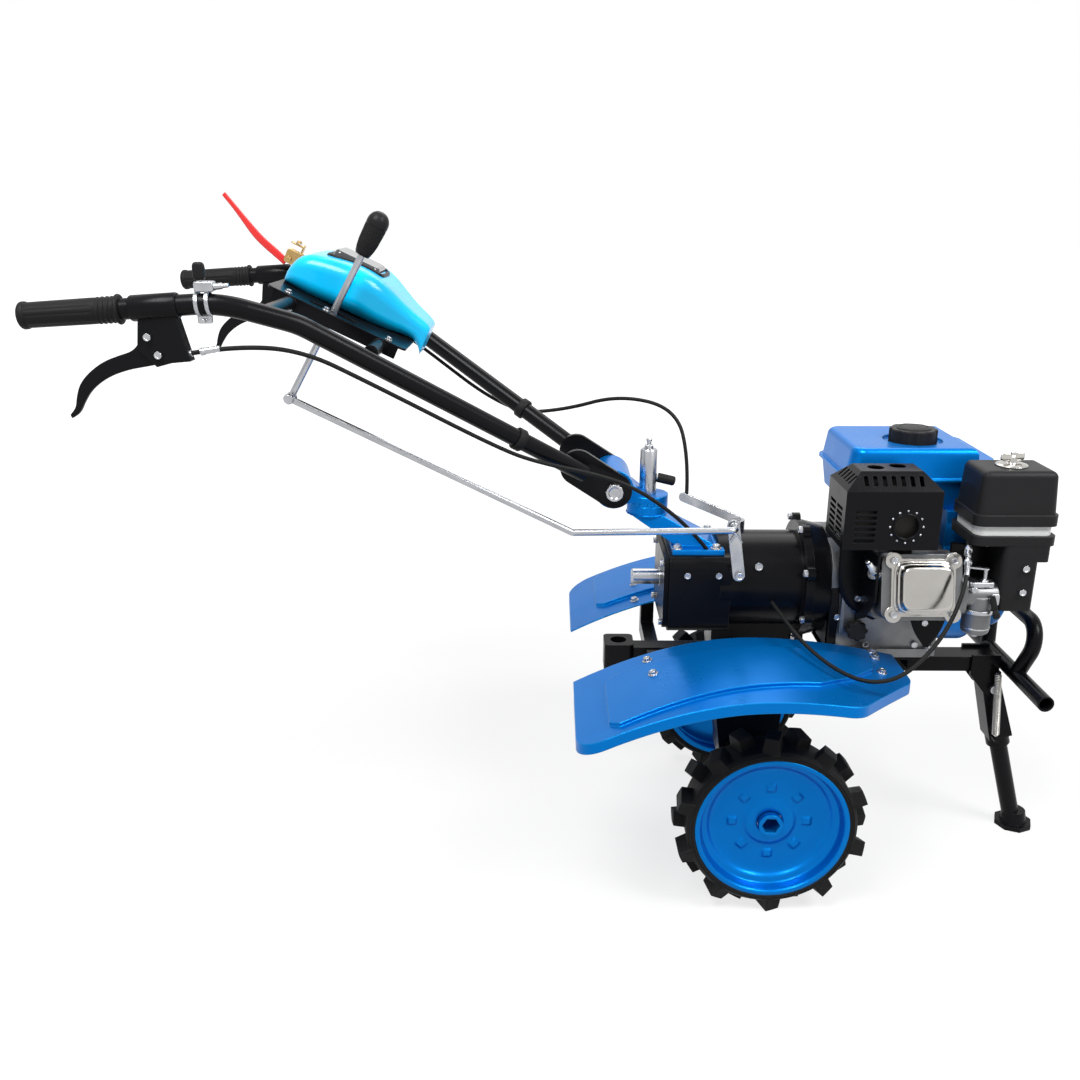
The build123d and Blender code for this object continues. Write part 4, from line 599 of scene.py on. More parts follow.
hand_upper = [
    (-806, 884), (-829, 884), (-835, 869), (-846, 855), (-866, 849), (-885, 842), (-904, 829), (-918, 814),
    (-924, 797), (-926, 785), (-934, 776),
]
hand_lower = [
    (-790, 848), (-803, 841), (-828, 836), (-853, 832), (-880, 823), (-902, 808), (-914, 792), (-922, 777),
    (-932, 771),
]
hand_right = lever_shape(hand_upper, hand_lower, y=-290.5, half_thickness=4.5)
hand_levers = made_piece("hand_levers_cast", [hand_right, mirrored(hand_right)], "handlebars", "black_paint")
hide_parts("hand_levers")
stop_upper = [(-879, 1044), (-863, 1024), (-841, 996), (-820, 971), (-797, 951), (-781, 935)]
stop_lower = [(-884, 1039), (-867, 1017), (-852, 994), (-837, 971), (-817, 951), (-789, 926)]
stop_blade = lever_shape(stop_upper, stop_lower, y=262, half_thickness=3.5)
stop_lever = made_piece("red_lever_blade", [stop_blade], "handlebars", "red_plastic")
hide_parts("stop_lever")

# %% [markdown]
# The throttle is a cast block on two bent steel bands, with a black thumb paddle. The bands are turned
# rings round the handlebar. The block and the paddle could be bevelled cubes, but a ball that is squared up
# by the same power as the levers has the soft, full faces of a casting.

# %% Throttle


def rounded_block(middle, halves, axes=np.eye(3), power=0.3, rows=24, columns=40):
    """A ball squared up: latitude and longitude give a unit ball, whose sines and cosines take a power."""
    latitude = np.linspace(-np.pi / 2, np.pi / 2, rows)[:, None]
    longitude = full_turn(columns)[None]
    around = soft_power(np.where(np.abs(latitude) < np.pi / 2, np.cos(latitude), 0), power)
    x = around * soft_power(np.cos(longitude), power)
    y = around * soft_power(np.sin(longitude), power)
    z = soft_power(np.sin(latitude), power) * np.ones_like(longitude)
    ball = np.stack([x, y, z], -1) * np.asarray(halves) / 1000
    return shape_from_grid(np.asarray(middle) + ball @ np.asarray(axes, float))


def band(place, axis, wall, width):
    """A flat ring round a handlebar: a small rectangle with eased corners, turned."""
    half, eased, outer = width / 2, bar_radius + wall * 0.7, bar_radius + wall
    rising = [(-half, bar_radius), (-half, eased), (-half * 0.8, outer)]
    falling = [(half * 0.8, outer), (half, eased), (half, bar_radius)]
    return turned([*rising, *falling, rising[0]], place, axis, sides=48)


def band_pair(place, axis, step, width):
    """Two bands side by side, a step to either side of a place."""
    return [band(place + way * axis, axis, wall=2.2, width=width) for way in (step, -step)]


throttle_at = from_axle((-754, -288.5, 912))
clamp_screw = [(-11, 0), (-11, 2.6), (11, 2.6), (11, 0)]
cable_socket = [(0, 0), (0, 4), (10, 4), (10, 3), (18, 2.6), (18, 0)]
throttle_shapes = [
    *band_pair(throttle_at, tube_axis * (1, -1, 1), step=0.0065, width=5),
    rounded_block(throttle_at + (0.003, 0, 0.0205), (12, 9, 6.5)),
    rounded_block(throttle_at + (0, 0, -0.019), (9, 3, 5)),
    turned(clamp_screw, throttle_at + (0, 0, -0.02), leftward, sides=16),
    turned(cable_socket, throttle_at + (0.014, 0, 0.02), (1, 0, 0.1), sides=20),
]
throttle_body = made_piece("throttle_body", throttle_shapes, "handlebars", "zinc")
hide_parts("throttle")
thumb = rounded_block(throttle_at + (-0.002, -0.002, 0.0385), (7.5, 4.5, 11), power=0.55)
made_piece("throttle_thumb", [thumb], "handlebars", "black_plastic")

# %% [markdown]
# Each hand lever hangs in a clamp on its tube and pulls a cable through a threaded adjuster. Zinc bolts
# hold the lever, and black rubber rings tie the cables to the tubes. All are turned profiles, because that
# is how the real ones are made.

# %% Lever fittings, adjusters and cable rings
lever_pivots = [
    (from_axle((x, side * 299.4, z)), side * leftward)
    for side in (-1, 1) for x, z in ((-823, 873), (-812, 851))
]
plate_spots = [(-690, -124), (-640, -124), (-556, -124), (-690, 124), (-556, 124)]
plate_seats = [seat("control_plate", from_axle((x, y, 1010)), -upward) for x, y in plate_spots]
tilt_seats = [(from_axle((-234, side * 58.5, 613)), side * leftward) for side in (-1, 1)]
handle_bolts = [
    *bolts(lever_pivots, size=0.0052), *bolts(plate_seats, size=0.0042), *bolts(tilt_seats, size=0.0145),
]
adjuster = [
    (0, 0), (0, 4.2), (5, 4.2), (5, 2.6), (16, 2.6), (16, 5), (21, 5), (21, 4.2), (38, 3.8), (40, 3), (40, 0),
]
adjuster_right = turned(adjuster, from_axle((-779, -290.5, 851)), (47, 2.5, 8), sides=24)
adjusters = [adjuster_right, mirrored(adjuster_right)]
made_piece("handlebar_fittings", handle_bolts + adjusters, "handlebars", "zinc")
sleeve = [(-29, 13.05), (-29, 15), (-27, 16), (27, 16), (29, 15), (29, 13.05), (-29, 13.05)]
sleeve_left = turned(sleeve, tube_bend + 0.078 * tube_axis, tube_axis, sides=40)
made_piece("lever_sleeves", [sleeve_left, mirrored(sleeve_left)], "handlebars", "black_paint")
tube_low = from_axle((-280, 69, 643))
tube_rise = from_axle((-650, 250, 883)) - tube_low
cable_ring = band(tube_low + 0.26 * tube_rise, tube_rise, wall=3.4, width=13)
made_piece("cable_rings", [cable_ring, mirrored(cable_ring)], "handlebars", "black_rubber")

# %% [markdown]
# The control cables are stiff sleeved wires held at both ends. Each follows a smooth NURBS line through
# the drawing's route, read back as points, and a ring is carried along it. Two of them cross the joint of
# the handlebars, so they ride on neither the chassis nor the bars.

# %% Control cables
cable_radius = 0.003


def route_line(route):
    """A NURBS curve of order three on the route's points, read back as a fine row of points."""
    curve = bpy.data.curves.new("route", "CURVE")
    curve.dimensions = "3D"
    curve.resolution_u = 24
    spline = curve.splines.new("NURBS")
    spline.points.add(len(route) - 1)
    spline.points.foreach_set("co", np.insert(route, 3, 1.0, axis=1).ravel())
    spline.order_u = 3
    spline.use_endpoint_u = True
    holder = bpy.data.objects.new("route", curve)
    bpy.context.scene.collection.objects.link(holder)
    bpy.context.view_layer.update()
    mesh = bpy.data.meshes.new_from_object(holder)
    line = np.empty(len(mesh.vertices) * 3)
    mesh.vertices.foreach_get("co", line)
    bpy.data.objects.remove(holder)
    bpy.data.meshes.remove(mesh)
    return line.reshape(-1, 3)


def control_cable(name, node, route, body):
    """A sleeved cable along a route, which takes the place of the hidden CAD piece."""
    line = route_line(from_axle(route))
    cable = made_piece(name, [ring_tube(line, cable_radius)], body, "black_rubber")
    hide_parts(node)
    return cable


clutch_route = [
    (-775, 290.5, 852), (-728, 288, 860), (-647, 262, 853), (-566, 222, 803), (-401, 146, 692),
    (-310, 130, 700), (-219, 96, 732), (-130, 62, 716), (-112, 24, 640), (-114, 20, 576),
]
reverse_route = [
    (-775, -290.5, 852), (-728, -288, 860), (-647, -262, 853), (-566, -222, 803), (-401, -140, 696),
    (-346, -121, 672), (-257, -92, 646), (-197, -80, 621), (-118, -62, 558), (-84, -50, 512),
]
throttle_route = [
    (13, -74.8, 440), (34, -150, 416), (64, -228, 404), (102, -276, 400), (144, -282, 408), (182, -266, 430),
    (216, -246, 462), (240, -228, 506), (256, -200, 548), (280, -125, 569),
]
clutch_cable = control_cable("clutch_cable_sleeved", "clutch_cable", clutch_route, None)
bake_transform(clutch_cable)
reverse_cable = control_cable("reverse_cable_sleeved", "reverse_cable", reverse_route, None)
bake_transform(reverse_cable)
control_cable("throttle_cable_sleeved", "throttle_cable", throttle_route, "chassis")

# %% [markdown]
# The stand is held down by a coil spring between two pins. Its wire could be a screw modifier on a circle,
# but a helix that is worked out can be drawn in to the pins: a circle that turns as it climbs and shrinks
# at both ends.

# %% Stand spring
spring_high = from_axle((396, -34.3, 305))
spring_box_low, spring_box_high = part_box("stand_spring")
spring_foot = np.array((spring_box_high[0] - 0.0063, spring_high[1], spring_box_low[2] + 0.0065))


def coil_line(high, low, turns, radius, steps=18, drawn_share=0.05):
    """High to low in even steps, plus a circle square to that line which shrinks at both ends."""
    share = np.linspace(0, 1, turns * steps)[:, None]
    first, second = across(low - high)
    size = radius * np.clip(np.minimum(share, 1 - share) / drawn_share, 0, 1)
    angle = 2 * np.pi * turns * share
    return high + share * (low - high) + size * (np.cos(angle) * first + np.sin(angle) * second)


spring_line = coil_line(spring_high, spring_foot, turns=42, radius=0.0052)
spring = made_piece("stand_coil", [ring_tube(spring_line, radius=0.00105, sides=8)], None, "bright_steel")
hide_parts("stand_spring")
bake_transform(spring)

# %% [markdown]
# The air cleaner's cover is held by a wing nut on a broad bright washer, the sign of a small engine. The
# washer is a turned dish, and each wing is a rounded blade, so both keep the thickness of pressed steel.

# %% Air cleaner's wing nut
cover_top = seat("air_cleaner_cover", from_axle((331, -120, 760)), -upward)[0]
washer = [(0, 0), (0, 22), (1.2, 22.5), (2.2, 21.5), (3.2, 15), (4, 8), (4, 0)]
nut = [(3, 0), (3, 7.5), (6, 6.5), (13, 4.8), (14, 3), (14, 0)]
stud = [(13, 0), (13, 3), (19, 3), (20, 2), (20, 0)]
nut_shapes = [turned(profile, cover_top, upward, sides=40) for profile in (washer, nut, stud)]
nut_shapes += [
    rounded_block(cover_top + (side * 0.0105, side * 0.003, 0.0125), (8, 1.8, 6), power=0.6)
    for side in (-1, 1)
]
made_piece("cleaner_wing_nut", nut_shapes, "chassis", "bright_steel")

# %% [markdown]
# The carburettor is a cast body with small fittings: a lid, a throttle arm on an upright shaft, a choke
# lever, an idle screw under its spring, and a float bowl with a rim and a drain nut. They could be one
# sculpted mesh, but turned profiles and rounded blocks follow how the real ones are made, and stay sharp.

# %% Carburettor fittings
carb_middle = from_axle((292, -152.6, 484))
bowl_foot = from_axle((296, -152.6, 424.9))
bowl_rim = [(34, 19.8), (34, 22.5), (35, 23), (39, 23), (40, 22.5), (40, 19.8), (34, 19.8)]
bowl_ring = [(9, 19.8), (9, 20), (9.5, 20.6), (11, 20.6), (11.5, 20), (11.5, 19.8), (9, 19.8)]
arm_shaft = [(0, 0), (0, 6), (3, 6), (4, 3.2), (20, 3.2), (21, 2.4), (21, 0)]
idle_screw = [(0, 0), (0, 2.2), (14, 2.2), (14, 4.6), (18, 4.6), (19, 3.8), (19, 0)]
idle_place = carb_middle + (-0.012, -0.014, 0.012)
idle_axis = unit((-0.25, -1.0, 0.35))
arm_axes = np.array([unit((1, -0.35, 0)), unit((0.35, 1, 0)), upward])
idle_coil = coil_line(idle_place, idle_place + 0.014 * idle_axis, turns=7, radius=0.0034)
carb_shapes = [
    turned(bowl_rim, bowl_foot, upward, sides=40),
    turned(bowl_ring, bowl_foot, upward, sides=40),
    *bolts([(bowl_foot, -upward)], size=0.006),
    rounded_block(carb_middle + (0.002, 0, 0.0185), (19, 13, 4.5)),
    turned(arm_shaft, carb_middle + (0.008, -0.003, 0.0215), upward, sides=24),
    rounded_block(carb_middle + (-0.002, 0.0005, 0.041), (15, 4.5, 1.4), arm_axes, power=0.35),
    turned(idle_screw, idle_place, idle_axis, sides=20),
    ring_tube(idle_coil, radius=0.0006, sides=8),
    rounded_block(carb_middle + (0.02, -0.017, -0.001), (6, 4, 9), power=0.35),
]
made_piece("carburettor_fittings", carb_shapes, "chassis", "zinc")
choke_axes = np.array([unit((0.3, 0, -1)), leftward, unit((1, 0, 0.3))])
choke_shapes = [
    rounded_block(carb_middle + (0.018, -0.023, -0.008), (15, 1.6, 4), choke_axes, power=0.4),
    rounded_block(carb_middle + (0.0215, -0.026, -0.022), (6, 3.5, 5), choke_axes, power=0.6),
]
made_piece("choke_lever", choke_shapes, "chassis", "black_plastic")

# %% [markdown]
# The crankcase is a casting, stiffened by ribs and closed by a black filler plug with finger grips. Each
# rib is a rounded block sunk into the wall, which needs no cut in it, and the plug's radius swings with a
# cosine of the angle.

# %% Crankcase ribs and oil plug


def gripped_plug(place, axis, radius, height, grips):
    """A plug turned round an axis: its radius swings by a tenth with the cosine of grips times the angle."""
    profile = np.array([(-0.1, 0), (-0.1, 0.7), (0.25, 0.7), (0.3, 0.95), (0.9, 0.95), (1, 0.85), (1, 0)])
    rise, reach = profile[:, :1], profile[:, 1:]
    angle = full_turn(12 * grips)
    swing = 1 + 0.1 * np.cos(grips * angle)[None] * (reach > 0.75)
    points = np.asarray(place) + height * rise[..., None] * unit(axis)
    return shape_from_grid(points + (radius * reach * swing)[..., None] * circle(axis, len(angle)))


case_walls = [corner[1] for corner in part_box("crankcase")]
right_ribs = [(118, 392, 500), (136, 430, 515), (258, 378, 430)]
left_ribs = [(x, 380, 510) for x in (118, 150, 182, 214, 246)]
rib_shapes = []
for wall, ribs, depth in zip(case_walls, (right_ribs, left_ribs), (5, 4)):
    for x, low, high in ribs:
        middle = from_axle((x, 0, (low + high) / 2)) + wall * leftward
        rib_shapes.append(rounded_block(middle, (3, depth, (high - low) / 2), power=0.25))
made_piece("crankcase_ribs", rib_shapes, "chassis", "cast_alloy")
plug_place = seat("crankcase", from_axle((142, -400, 398)), leftward)[0]
oil_plug = gripped_plug(plug_place, (0, -1, 0.25), radius=0.0155, height=0.018, grips=8)
made_piece("oil_plug", [oil_plug], "chassis", "black_plastic")
gear_plug_place = seat("gearbox_case", from_axle((-10, -400, 495)), leftward)[0]
made_piece("gearbox_plug", bolts([(gear_plug_place, (0, -1, 0.2))], size=0.0068), "chassis", "zinc")

# %% [markdown]
# The exhaust leaves through a round outlet in the guard, edged by a rolled ring and a circle of small
# rivets. The ring could be a bevelled hole, but a turned edge stands proud and catches the light as the
# rolled steel does. The rivets are low domes on one circle.

# %% Exhaust outlet
guard_low, guard_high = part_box("muffler_guard")
outlet = np.array((guard_high[0] - 0.0476, guard_low[1], guard_high[2] - 0.07525))
rolled_edge = [(-3, 16.4), (0, 16.4), (1.6, 17.2), (2, 18.4), (1.6, 19.6), (0, 20.4), (-3, 16.4)]
rivet = [(0, 0), (0, 1.7), (0.6, 1.5), (1, 0.9), (1.1, 0)]
rivet_count, rivet_circle = 12, 0.0236
made_piece("exhaust_outlet", [turned(rolled_edge, outlet, -leftward, sides=48)], "chassis", "black_paint")
turns = full_turn(rivet_count)[:, None]
rivet_places = outlet + rivet_circle * (np.cos(turns) * ahead + np.sin(turns) * upward)
rivets = [turned(rivet, place, -leftward, sides=12) for place in rivet_places]
made_piece("outlet_rivets", rivets, "chassis", "zinc")

# %% [markdown]
# The throttle cable's metal end is a threaded sleeve with two nuts where it meets the engine's control
# bracket. It follows the last part of the same line that the cable follows, with a larger radius, so the
# cable runs through its middle.

# %% Cable end at the engine
end_line = evenly(route_line(from_axle(throttle_route)), count=120)
end_nuts = [(end_line[step], end_line[step + 1] - end_line[step]) for step in (103, 109)]
end_shapes = [
    ring_tube(end_line[101:112], radius=0.0041, sides=16),
    ring_tube(end_line[98:102], radius=0.0036, sides=16),
]
made_piece("throttle_cable_end", end_shapes + bolts(end_nuts, size=0.0058), "chassis", "zinc")

# %% [markdown]
# The red lever turns in a folded bracket of yellow-passivated steel: a band round the tube, a tongue to the
# lever, two ears with the pivot through them, and a stop that the lever's cable hooks into. Each fold is a
# thin rounded block, leaning as the lever does.

# %% Stop lever's bracket
stop_at = from_axle((-762, 288.9, 911.4))
stop_pivot = from_axle((-778, 262, 936))
stop_lean = np.array([unit((1, 0, -0.5)), leftward, unit((0.5, 0, 1))])
pivot_pin = [(-12, 0), (-12, 3.2), (12, 3.2), (12, 0)]
stop_folds = [
    ((-770, 256.2, 937), (15, 1.3, 12), 0.3), ((-770, 267.8, 937), (15, 1.3, 12), 0.3),
    ((-757, 262, 944), (1.4, 7, 15), 0.3), ((-763, 262, 959), (11, 4, 1.5), 0.35),
]
stop_shapes = [
    *band_pair(stop_at, tube_axis, step=0.0055, width=7),
    rounded_block(stop_at + (-0.004, -0.012, 0.0165), (14, 18, 1.6), power=0.25),
    *(rounded_block(from_axle(middle), halves, stop_lean, power) for middle, halves, power in stop_folds),
    turned(pivot_pin, stop_pivot, leftward, sides=20),
    *bolts([(stop_pivot + 0.0075 * way, way) for way in (leftward, -leftward)], size=0.0048),
    *bolts([(from_axle((-760, 262, 961)), (0.3, 0, 1))], size=0.0042),
]
stop_bracket = made_piece("stop_bracket_folded", stop_shapes, "handlebars", "yellow_zinc")
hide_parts("stop_bracket")

# %% [markdown]
# The console's smoked window sits in a raised frame, a rounded rectangle laid on the moulding. A shrinkwrap
# could press it on, but a ray that finds the surface under each of its points does the same in the open, so
# the frame follows the curve of the top.

# %% Console's window frame
plate_middle = from_axle((-624, 0, 877))
plate_along = unit((184, 0, -88))
plate_up = unit((88, 0, 184))


def closed_tube(path, radius, sides=12, lean=(0.02, 0.03, 1.0)):
    """A round tube along a closed path."""
    run = unit(np.roll(path, -1, 0) - np.roll(path, 1, 0))
    return shape_from_grid(rings_along(path, run, lean, radius, sides), wrap_rows=True)


def rounded_outline(half_length, half_width, count=72, power=0.35):
    """Points round a squared circle: half sizes times the signed powers of cosine and sine."""
    angle = full_turn(count)
    return half_length * soft_power(np.cos(angle), power), half_width * soft_power(np.sin(angle), power)


along_plate, across_plate = rounded_outline(half_length=0.041, half_width=0.0415)
ray_starts = plate_middle + (along_plate - 0.018)[:, None] * plate_along + 0.2 * plate_up
ray_starts = ray_starts + across_plate[:, None] * leftward
frame_line = np.array([seat("console", start, -plate_up)[0] for start in ray_starts])
made_piece("window_frame", [closed_tube(frame_line, radius=0.0032)], "handlebars", "black_plastic")

# %% [markdown]
# Welds join the neck's box to its base and to the round plate behind it. A weld bead is a tube whose radius
# ripples along its run, laid into the corner between the two pieces, where a bevel would only round it off.

# %% Weld beads


def bead(path, size):
    """A closed tube along a corner: its radius is a size plus a small cosine of six points to a wave."""
    return closed_tube(path, size * (1 + 0.14 * np.cos(np.arange(len(path)) * np.pi / 3)), sides=10)


foot_x, foot_y = rounded_outline(half_length=0.031, half_width=0.038, count=180, power=0.12)
foot_line = from_axle((-103, 0, 519)) + np.stack([foot_x, foot_y, 0 * foot_x], -1)
disc_line = from_axle((-178, 0, 564.5)) + 0.0318 * circle(upward, 120)
beads = [bead(foot_line, size=0.0024), bead(disc_line, size=0.0016)]
made_piece("neck_welds", beads, "chassis", "blue_paint")

# %% [markdown]
# A black plate joins the clutch bell to the engine and wraps the rear edge of the block. A cut-out sheet
# would do, but its edges are rounded: the outline is the block's own section a little enlarged, with the
# corners cut smooth, and a ring of rows carries it round the plate's edge.

# %% Adapter plate
block_low, block_high = (1000 * np.array(corner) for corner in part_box("crankcase"))
shoulder, top, foot = block_high[2] - 38, block_high[2] + 2.5, block_low[2] + 1
plate_right, plate_left = -84.5, 94.5
plate_corners = [
    (plate_right, foot), (plate_right, shoulder), (-46, top), (56, top), (plate_left, shoulder),
    (plate_left, foot), (plate_right, foot),
]
plate_outline = evenly(smoothed(plate_corners), count=121)[:-1]
plate_centre = np.array(((plate_right + plate_left) / 2, (top + foot) / 2))
plate_rows = np.array([(0, 0.88), (0, 0.985), (1.5, 1), (12.5, 1), (14, 0.985), (14, 0.88)])[:, :, None, None]
plate_yz = plate_centre + plate_rows[:, 1] * (plate_outline - plate_centre)
plate_x = np.broadcast_to(block_low[0] + plate_rows[:, 0], (*plate_yz.shape[:2], 1))
plate_grid = np.concatenate([plate_x, plate_yz], -1) / 1000
made_piece("adapter_plate", [shape_from_grid(plate_grid, wrap_rows=True)], "chassis", "black_paint")

# %% [markdown]
# Black sheet guides the cooling air past the cylinder: a cowl beside it, a plate that hangs below it and one
# that carries the throttle's linkage. These sheets are partly real and partly painted shade: they darken the
# crankcase's upper side and the gap behind the linkage, where shade falls. Each is a ring of rows between two
# edge lines, as the hand levers are.
# The spark plug comes out between cowl and valve cover, turned from a steel shell, an insulator and a tip.

# %% Air guides, partly painted shade, and spark plug
cowl_rear = [(106, 546), (106, 505), (109, 466), (121, 443), (140, 430), (163, 419)]
cowl_front = [(146, 546), (146, 505), (147, 474), (151, 453), (161, 438), (174, 425)]
guide_rear = [(206, 442), (216, 414), (233, 391)]
guide_front = [(263, 442), (256, 414), (240, 389)]
linkage_upper = [(262, 552), (288, 549), (320, 544)]
linkage_lower = [(262, 497), (290, 494), (320, 494)]
# The cowl and the plates are partly real sheet and partly painted shade over the crankcase and the linkage.
guide_and_shade_shapes = [
    lever_shape(cowl_rear, cowl_front, y=-89, half_thickness=7),
    lever_shape(guide_rear, guide_front, y=-129, half_thickness=2),
    lever_shape(linkage_upper, linkage_lower, y=-113, half_thickness=3),
]
made_piece("air_guides_and_shade_plates", guide_and_shade_shapes, "chassis", "black_paint")
guide_seats = facing(-leftward, [(137, -96, 456), (229, -131, 431), (284, -116, 536)])
made_piece("air_guide_bolts", bolts(guide_seats, size=0.0052), "chassis", "zinc")
spark_foot = from_axle((145, -149, 513))
spark_axis = unit((-20, -14, 25))
spark_shell = [(-4, 0), (-4, 8.5), (4, 8.5), (5, 7), (9, 7), (10, 5.6), (10, 0)]
spark_tip = [(29, 0), (29, 2.6), (30, 3.3), (34, 3.3), (35, 2.4), (35, 0)]
insulator = [(9, 0), (9, 5.2), (18, 5), (20, 4.2), (28, 3.8), (30, 2), (30, 0)]
spark_steel = [turned(profile, spark_foot, spark_axis, sides=24) for profile in (spark_shell, spark_tip)]
spark_steel += bolts([(spark_foot + 0.004 * spark_axis, spark_axis)], size=0.0085)
made_piece("spark_plug", spark_steel, "chassis", "zinc")
made_piece("plug_insulator", [turned(insulator, spark_foot, spark_axis, sides=24)], "chassis", "pale_plastic")

# %% [markdown]
# The valve cover is pressed in two steps, with steep walls and cut corners that leave room for its bolts.
# Stacked and bevelled boxes would come near, but a pressing is one sheet: the outline of the foot is drawn
# once, and each row above it is that outline drawn in by a few millimetres.

# %% Pressed valve cover
half_long, half_high, corner_cut = 43.0, 39.0, 9.0
quarter = np.array([
    (half_long, 0), (half_long, half_high - corner_cut), (half_long - corner_cut, half_high), (0, half_high),
])
cover_ring = np.concatenate([quarter, (quarter * (-1, 1))[-2::-1], -quarter[1:], (quarter * (1, -1))[-2::-1]])
cover_outline = evenly(smoothed(cover_ring), count=129)[:-1]
cover_rows = np.array([
    (-0.6, half_long), (-0.6, 0), (1.2, 0.2), (2, 1), (2.4, 2.2), (3.2, 2.6), (9, 3.4), (9.8, 4), (10.2, 5.2),
    (11, 5.6), (20, 7.2), (21.6, 8.2), (22.4, 9.8), (22.6, 11.5), (22.6, 24), (22.6, half_long),
])[:, :, None, None]
drawn_in = np.maximum(1 - cover_rows[:, 1] / (half_long, half_high), 0)
cover_flat = drawn_in * cover_outline / 1000
cover_foot = cylinder_middle + 0.177 * cylinder_axis
cover_points = cover_foot + cover_rows[:, 0] * cylinder_axis / 1000
cover_points = cover_points + cover_flat[..., :1] * ahead + cover_flat[..., 1:] * cylinder_up
made_piece("valve_cover_dome", [shape_from_grid(cover_points)], "chassis", "bright_steel")

# %% [markdown]
# The filler cap has a raised top with a groove, which is a turned profile set on the CAD cap. The recoil
# starter bolts to the fan housing by three ears, which are rounded blocks with a bolt in each.

# %% Cap top and starter ears
cap_low, cap_high = (np.array(corner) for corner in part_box("fuel_cap"))
cap_top = np.array((*((cap_low + cap_high) / 2)[:2], cap_high[2]))
cap_disc = [
    (-0.5, 0), (-0.5, 27), (1.2, 26), (1.8, 25), (1.8, 22), (0.8, 21.4), (0.8, 20), (1.8, 19.4), (2.6, 12),
    (2.8, 0),
]
made_piece("cap_crown", [turned(cap_disc, cap_top, upward, sides=64)], "chassis", "black_plastic")
starter_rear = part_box("recoil_starter")[0][0]
starter_middle = np.array((starter_rear + 0.003, 0, crank_height / 1000))
ear_shapes, ear_seats = [], []
for angle in np.radians((55, 175, 295)):
    outward = np.array((0, np.cos(angle), np.sin(angle)))
    middle = starter_middle + 0.083 * outward
    ear_axes = np.stack([ahead, outward, np.cross(ahead, outward)])
    ear_shapes.append(rounded_block(middle, (7, 12, 10), ear_axes))
    ear_seats.append((middle + 0.0065 * ahead + 0.004 * outward, ahead))
made_piece("starter_ears", ear_shapes, "chassis", "blue_paint")
made_piece("starter_bolts", bolts(ear_seats, size=0.006), "chassis", "zinc")

# %% [markdown]
# The wheels are pressed from sheet steel, so their discs flow from the rolled edge through two steps to a
# shallow dish, with eight square pads. The profile is turned round the axle, and a soft square lifts the
# sheet at each pad: one where both distances from the pad's middle are small, falling smoothly to nought.

# %% Pressed wheels
wheel_middle = 213
pad_circle, pad_half, pad_slope, pad_count, pad_height = 56, 6.5, 2.5, 8, 4


def pad_lift(radius, angle):
    """A pad's share of lift at a point: a soft step in the distance out, times one in the distance round."""
    turn = (angle + np.pi / pad_count) % (2 * np.pi / pad_count) - np.pi / pad_count
    out, round_way = np.abs(radius * np.cos(turn) - pad_circle), np.abs(radius * np.sin(turn))
    steps = [np.clip((pad_half + pad_slope - gap) / (2 * pad_slope), 0, 1) for gap in (out, round_way)]
    return np.prod([step * step * (3 - 2 * step) for step in steps], axis=0)


def pressed_wheel(side, columns=224):
    """A closed profile of outward place and radius, turned round the axle, with pads lifted on its disc."""
    front = [
        (0, 18.4), (9.5, 18.4), (10.5, 22), (10, 34), (4, 42), (4, 64), (4, 82), (6, 90), (12, 95),
        (13.5, 100), (15, 103.5), (26, 105.5), (30.2, 107.5), (31, 110), (30, 114.6),
    ]
    back = [
        (-30, 114.6), (-30, 106), (-27, 106), (-27, 111.6), (-1, 111.6), (0, 108), (0, 64), (0, 42),
        (0, 18.4),
    ]
    front, back = evenly(smoothed(front, rounds=2), count=96), evenly(smoothed(back, rounds=1), count=80)
    profile = np.concatenate([front, back[:-1]])
    angle = full_turn(columns)[None]
    out, radius = profile[:, :1], profile[:, 1:]
    on_disc = np.abs(out - 2) < 5
    lift = pad_height * pad_lift(radius, angle) * on_disc
    x, z = radius * np.cos(angle), axle_height + radius * np.sin(angle)
    points = np.stack([x, side * (wheel_middle + out + lift), z], -1)
    return shape_from_grid(from_axle(points), wrap_rows=True)


wheels = made_piece("pressed_wheels", [pressed_wheel(side) for side in (-1, 1)], "wheel_set", "blue_paint")
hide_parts("wheel_right", "wheel_left")
sidewall_lines = [
    from_axle((0, side * y, axle_height)) + radius * circle(leftward, 144)
    for side in (-1, 1) for y in (183, 243) for radius in (0.1185, 0.1215)
]
sidewall_shapes = [closed_tube(line, radius=0.0007, sides=8) for line in sidewall_lines]
made_piece("sidewall_rings", sidewall_shapes, "wheel_set", "tyre")

# %% [markdown]
# The neck's toothed joint is locked by a stout post with a grease nipple on top and a short gripped bar at
# its side. The post and the grip are turned profiles, since the real ones come from a lathe, and the bar is
# a plain tube.

# %% Swivel post
post = [
    (2, 0), (2, 10.5), (15.2, 10.5), (15.2, 13.4), (84, 13.4), (86.5, 11.5), (86.5, 7), (92, 7), (93, 5),
    (93, 3.6), (98, 3.6), (99, 4.8), (101.5, 4.8), (103, 3), (103, 0),
]
bar_start, bar_end = from_axle((-178, 0, 623)), from_axle((-136, 0, 613))
bar_grip = [(15, 0), (15, 6.8), (17, 7.6), (40, 7.6), (42.5, 6.6), (43.5, 4), (43.5, 0)]
post_shapes = [
    turned(post, from_axle((-178, 0, 579)), upward, sides=40),
    ring_tube(np.linspace(bar_start, bar_end, 4), radius=0.005),
]
swivel_post = made_piece("swivel_post", post_shapes, "chassis", "zinc")
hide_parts("swivel_clamp")
swivel_grip = turned(bar_grip, bar_start, bar_end - bar_start, sides=32)
made_piece("swivel_grip", [swivel_grip], "chassis", "black_rubber")

# %% [markdown]
# The shift rod hangs on a pin at the lever's foot, and a wire clip keeps its hook in the gearbox's arm. The
# pin is a turned profile, and the clip is a bent wire: a ring carried along a line with its corners cut.

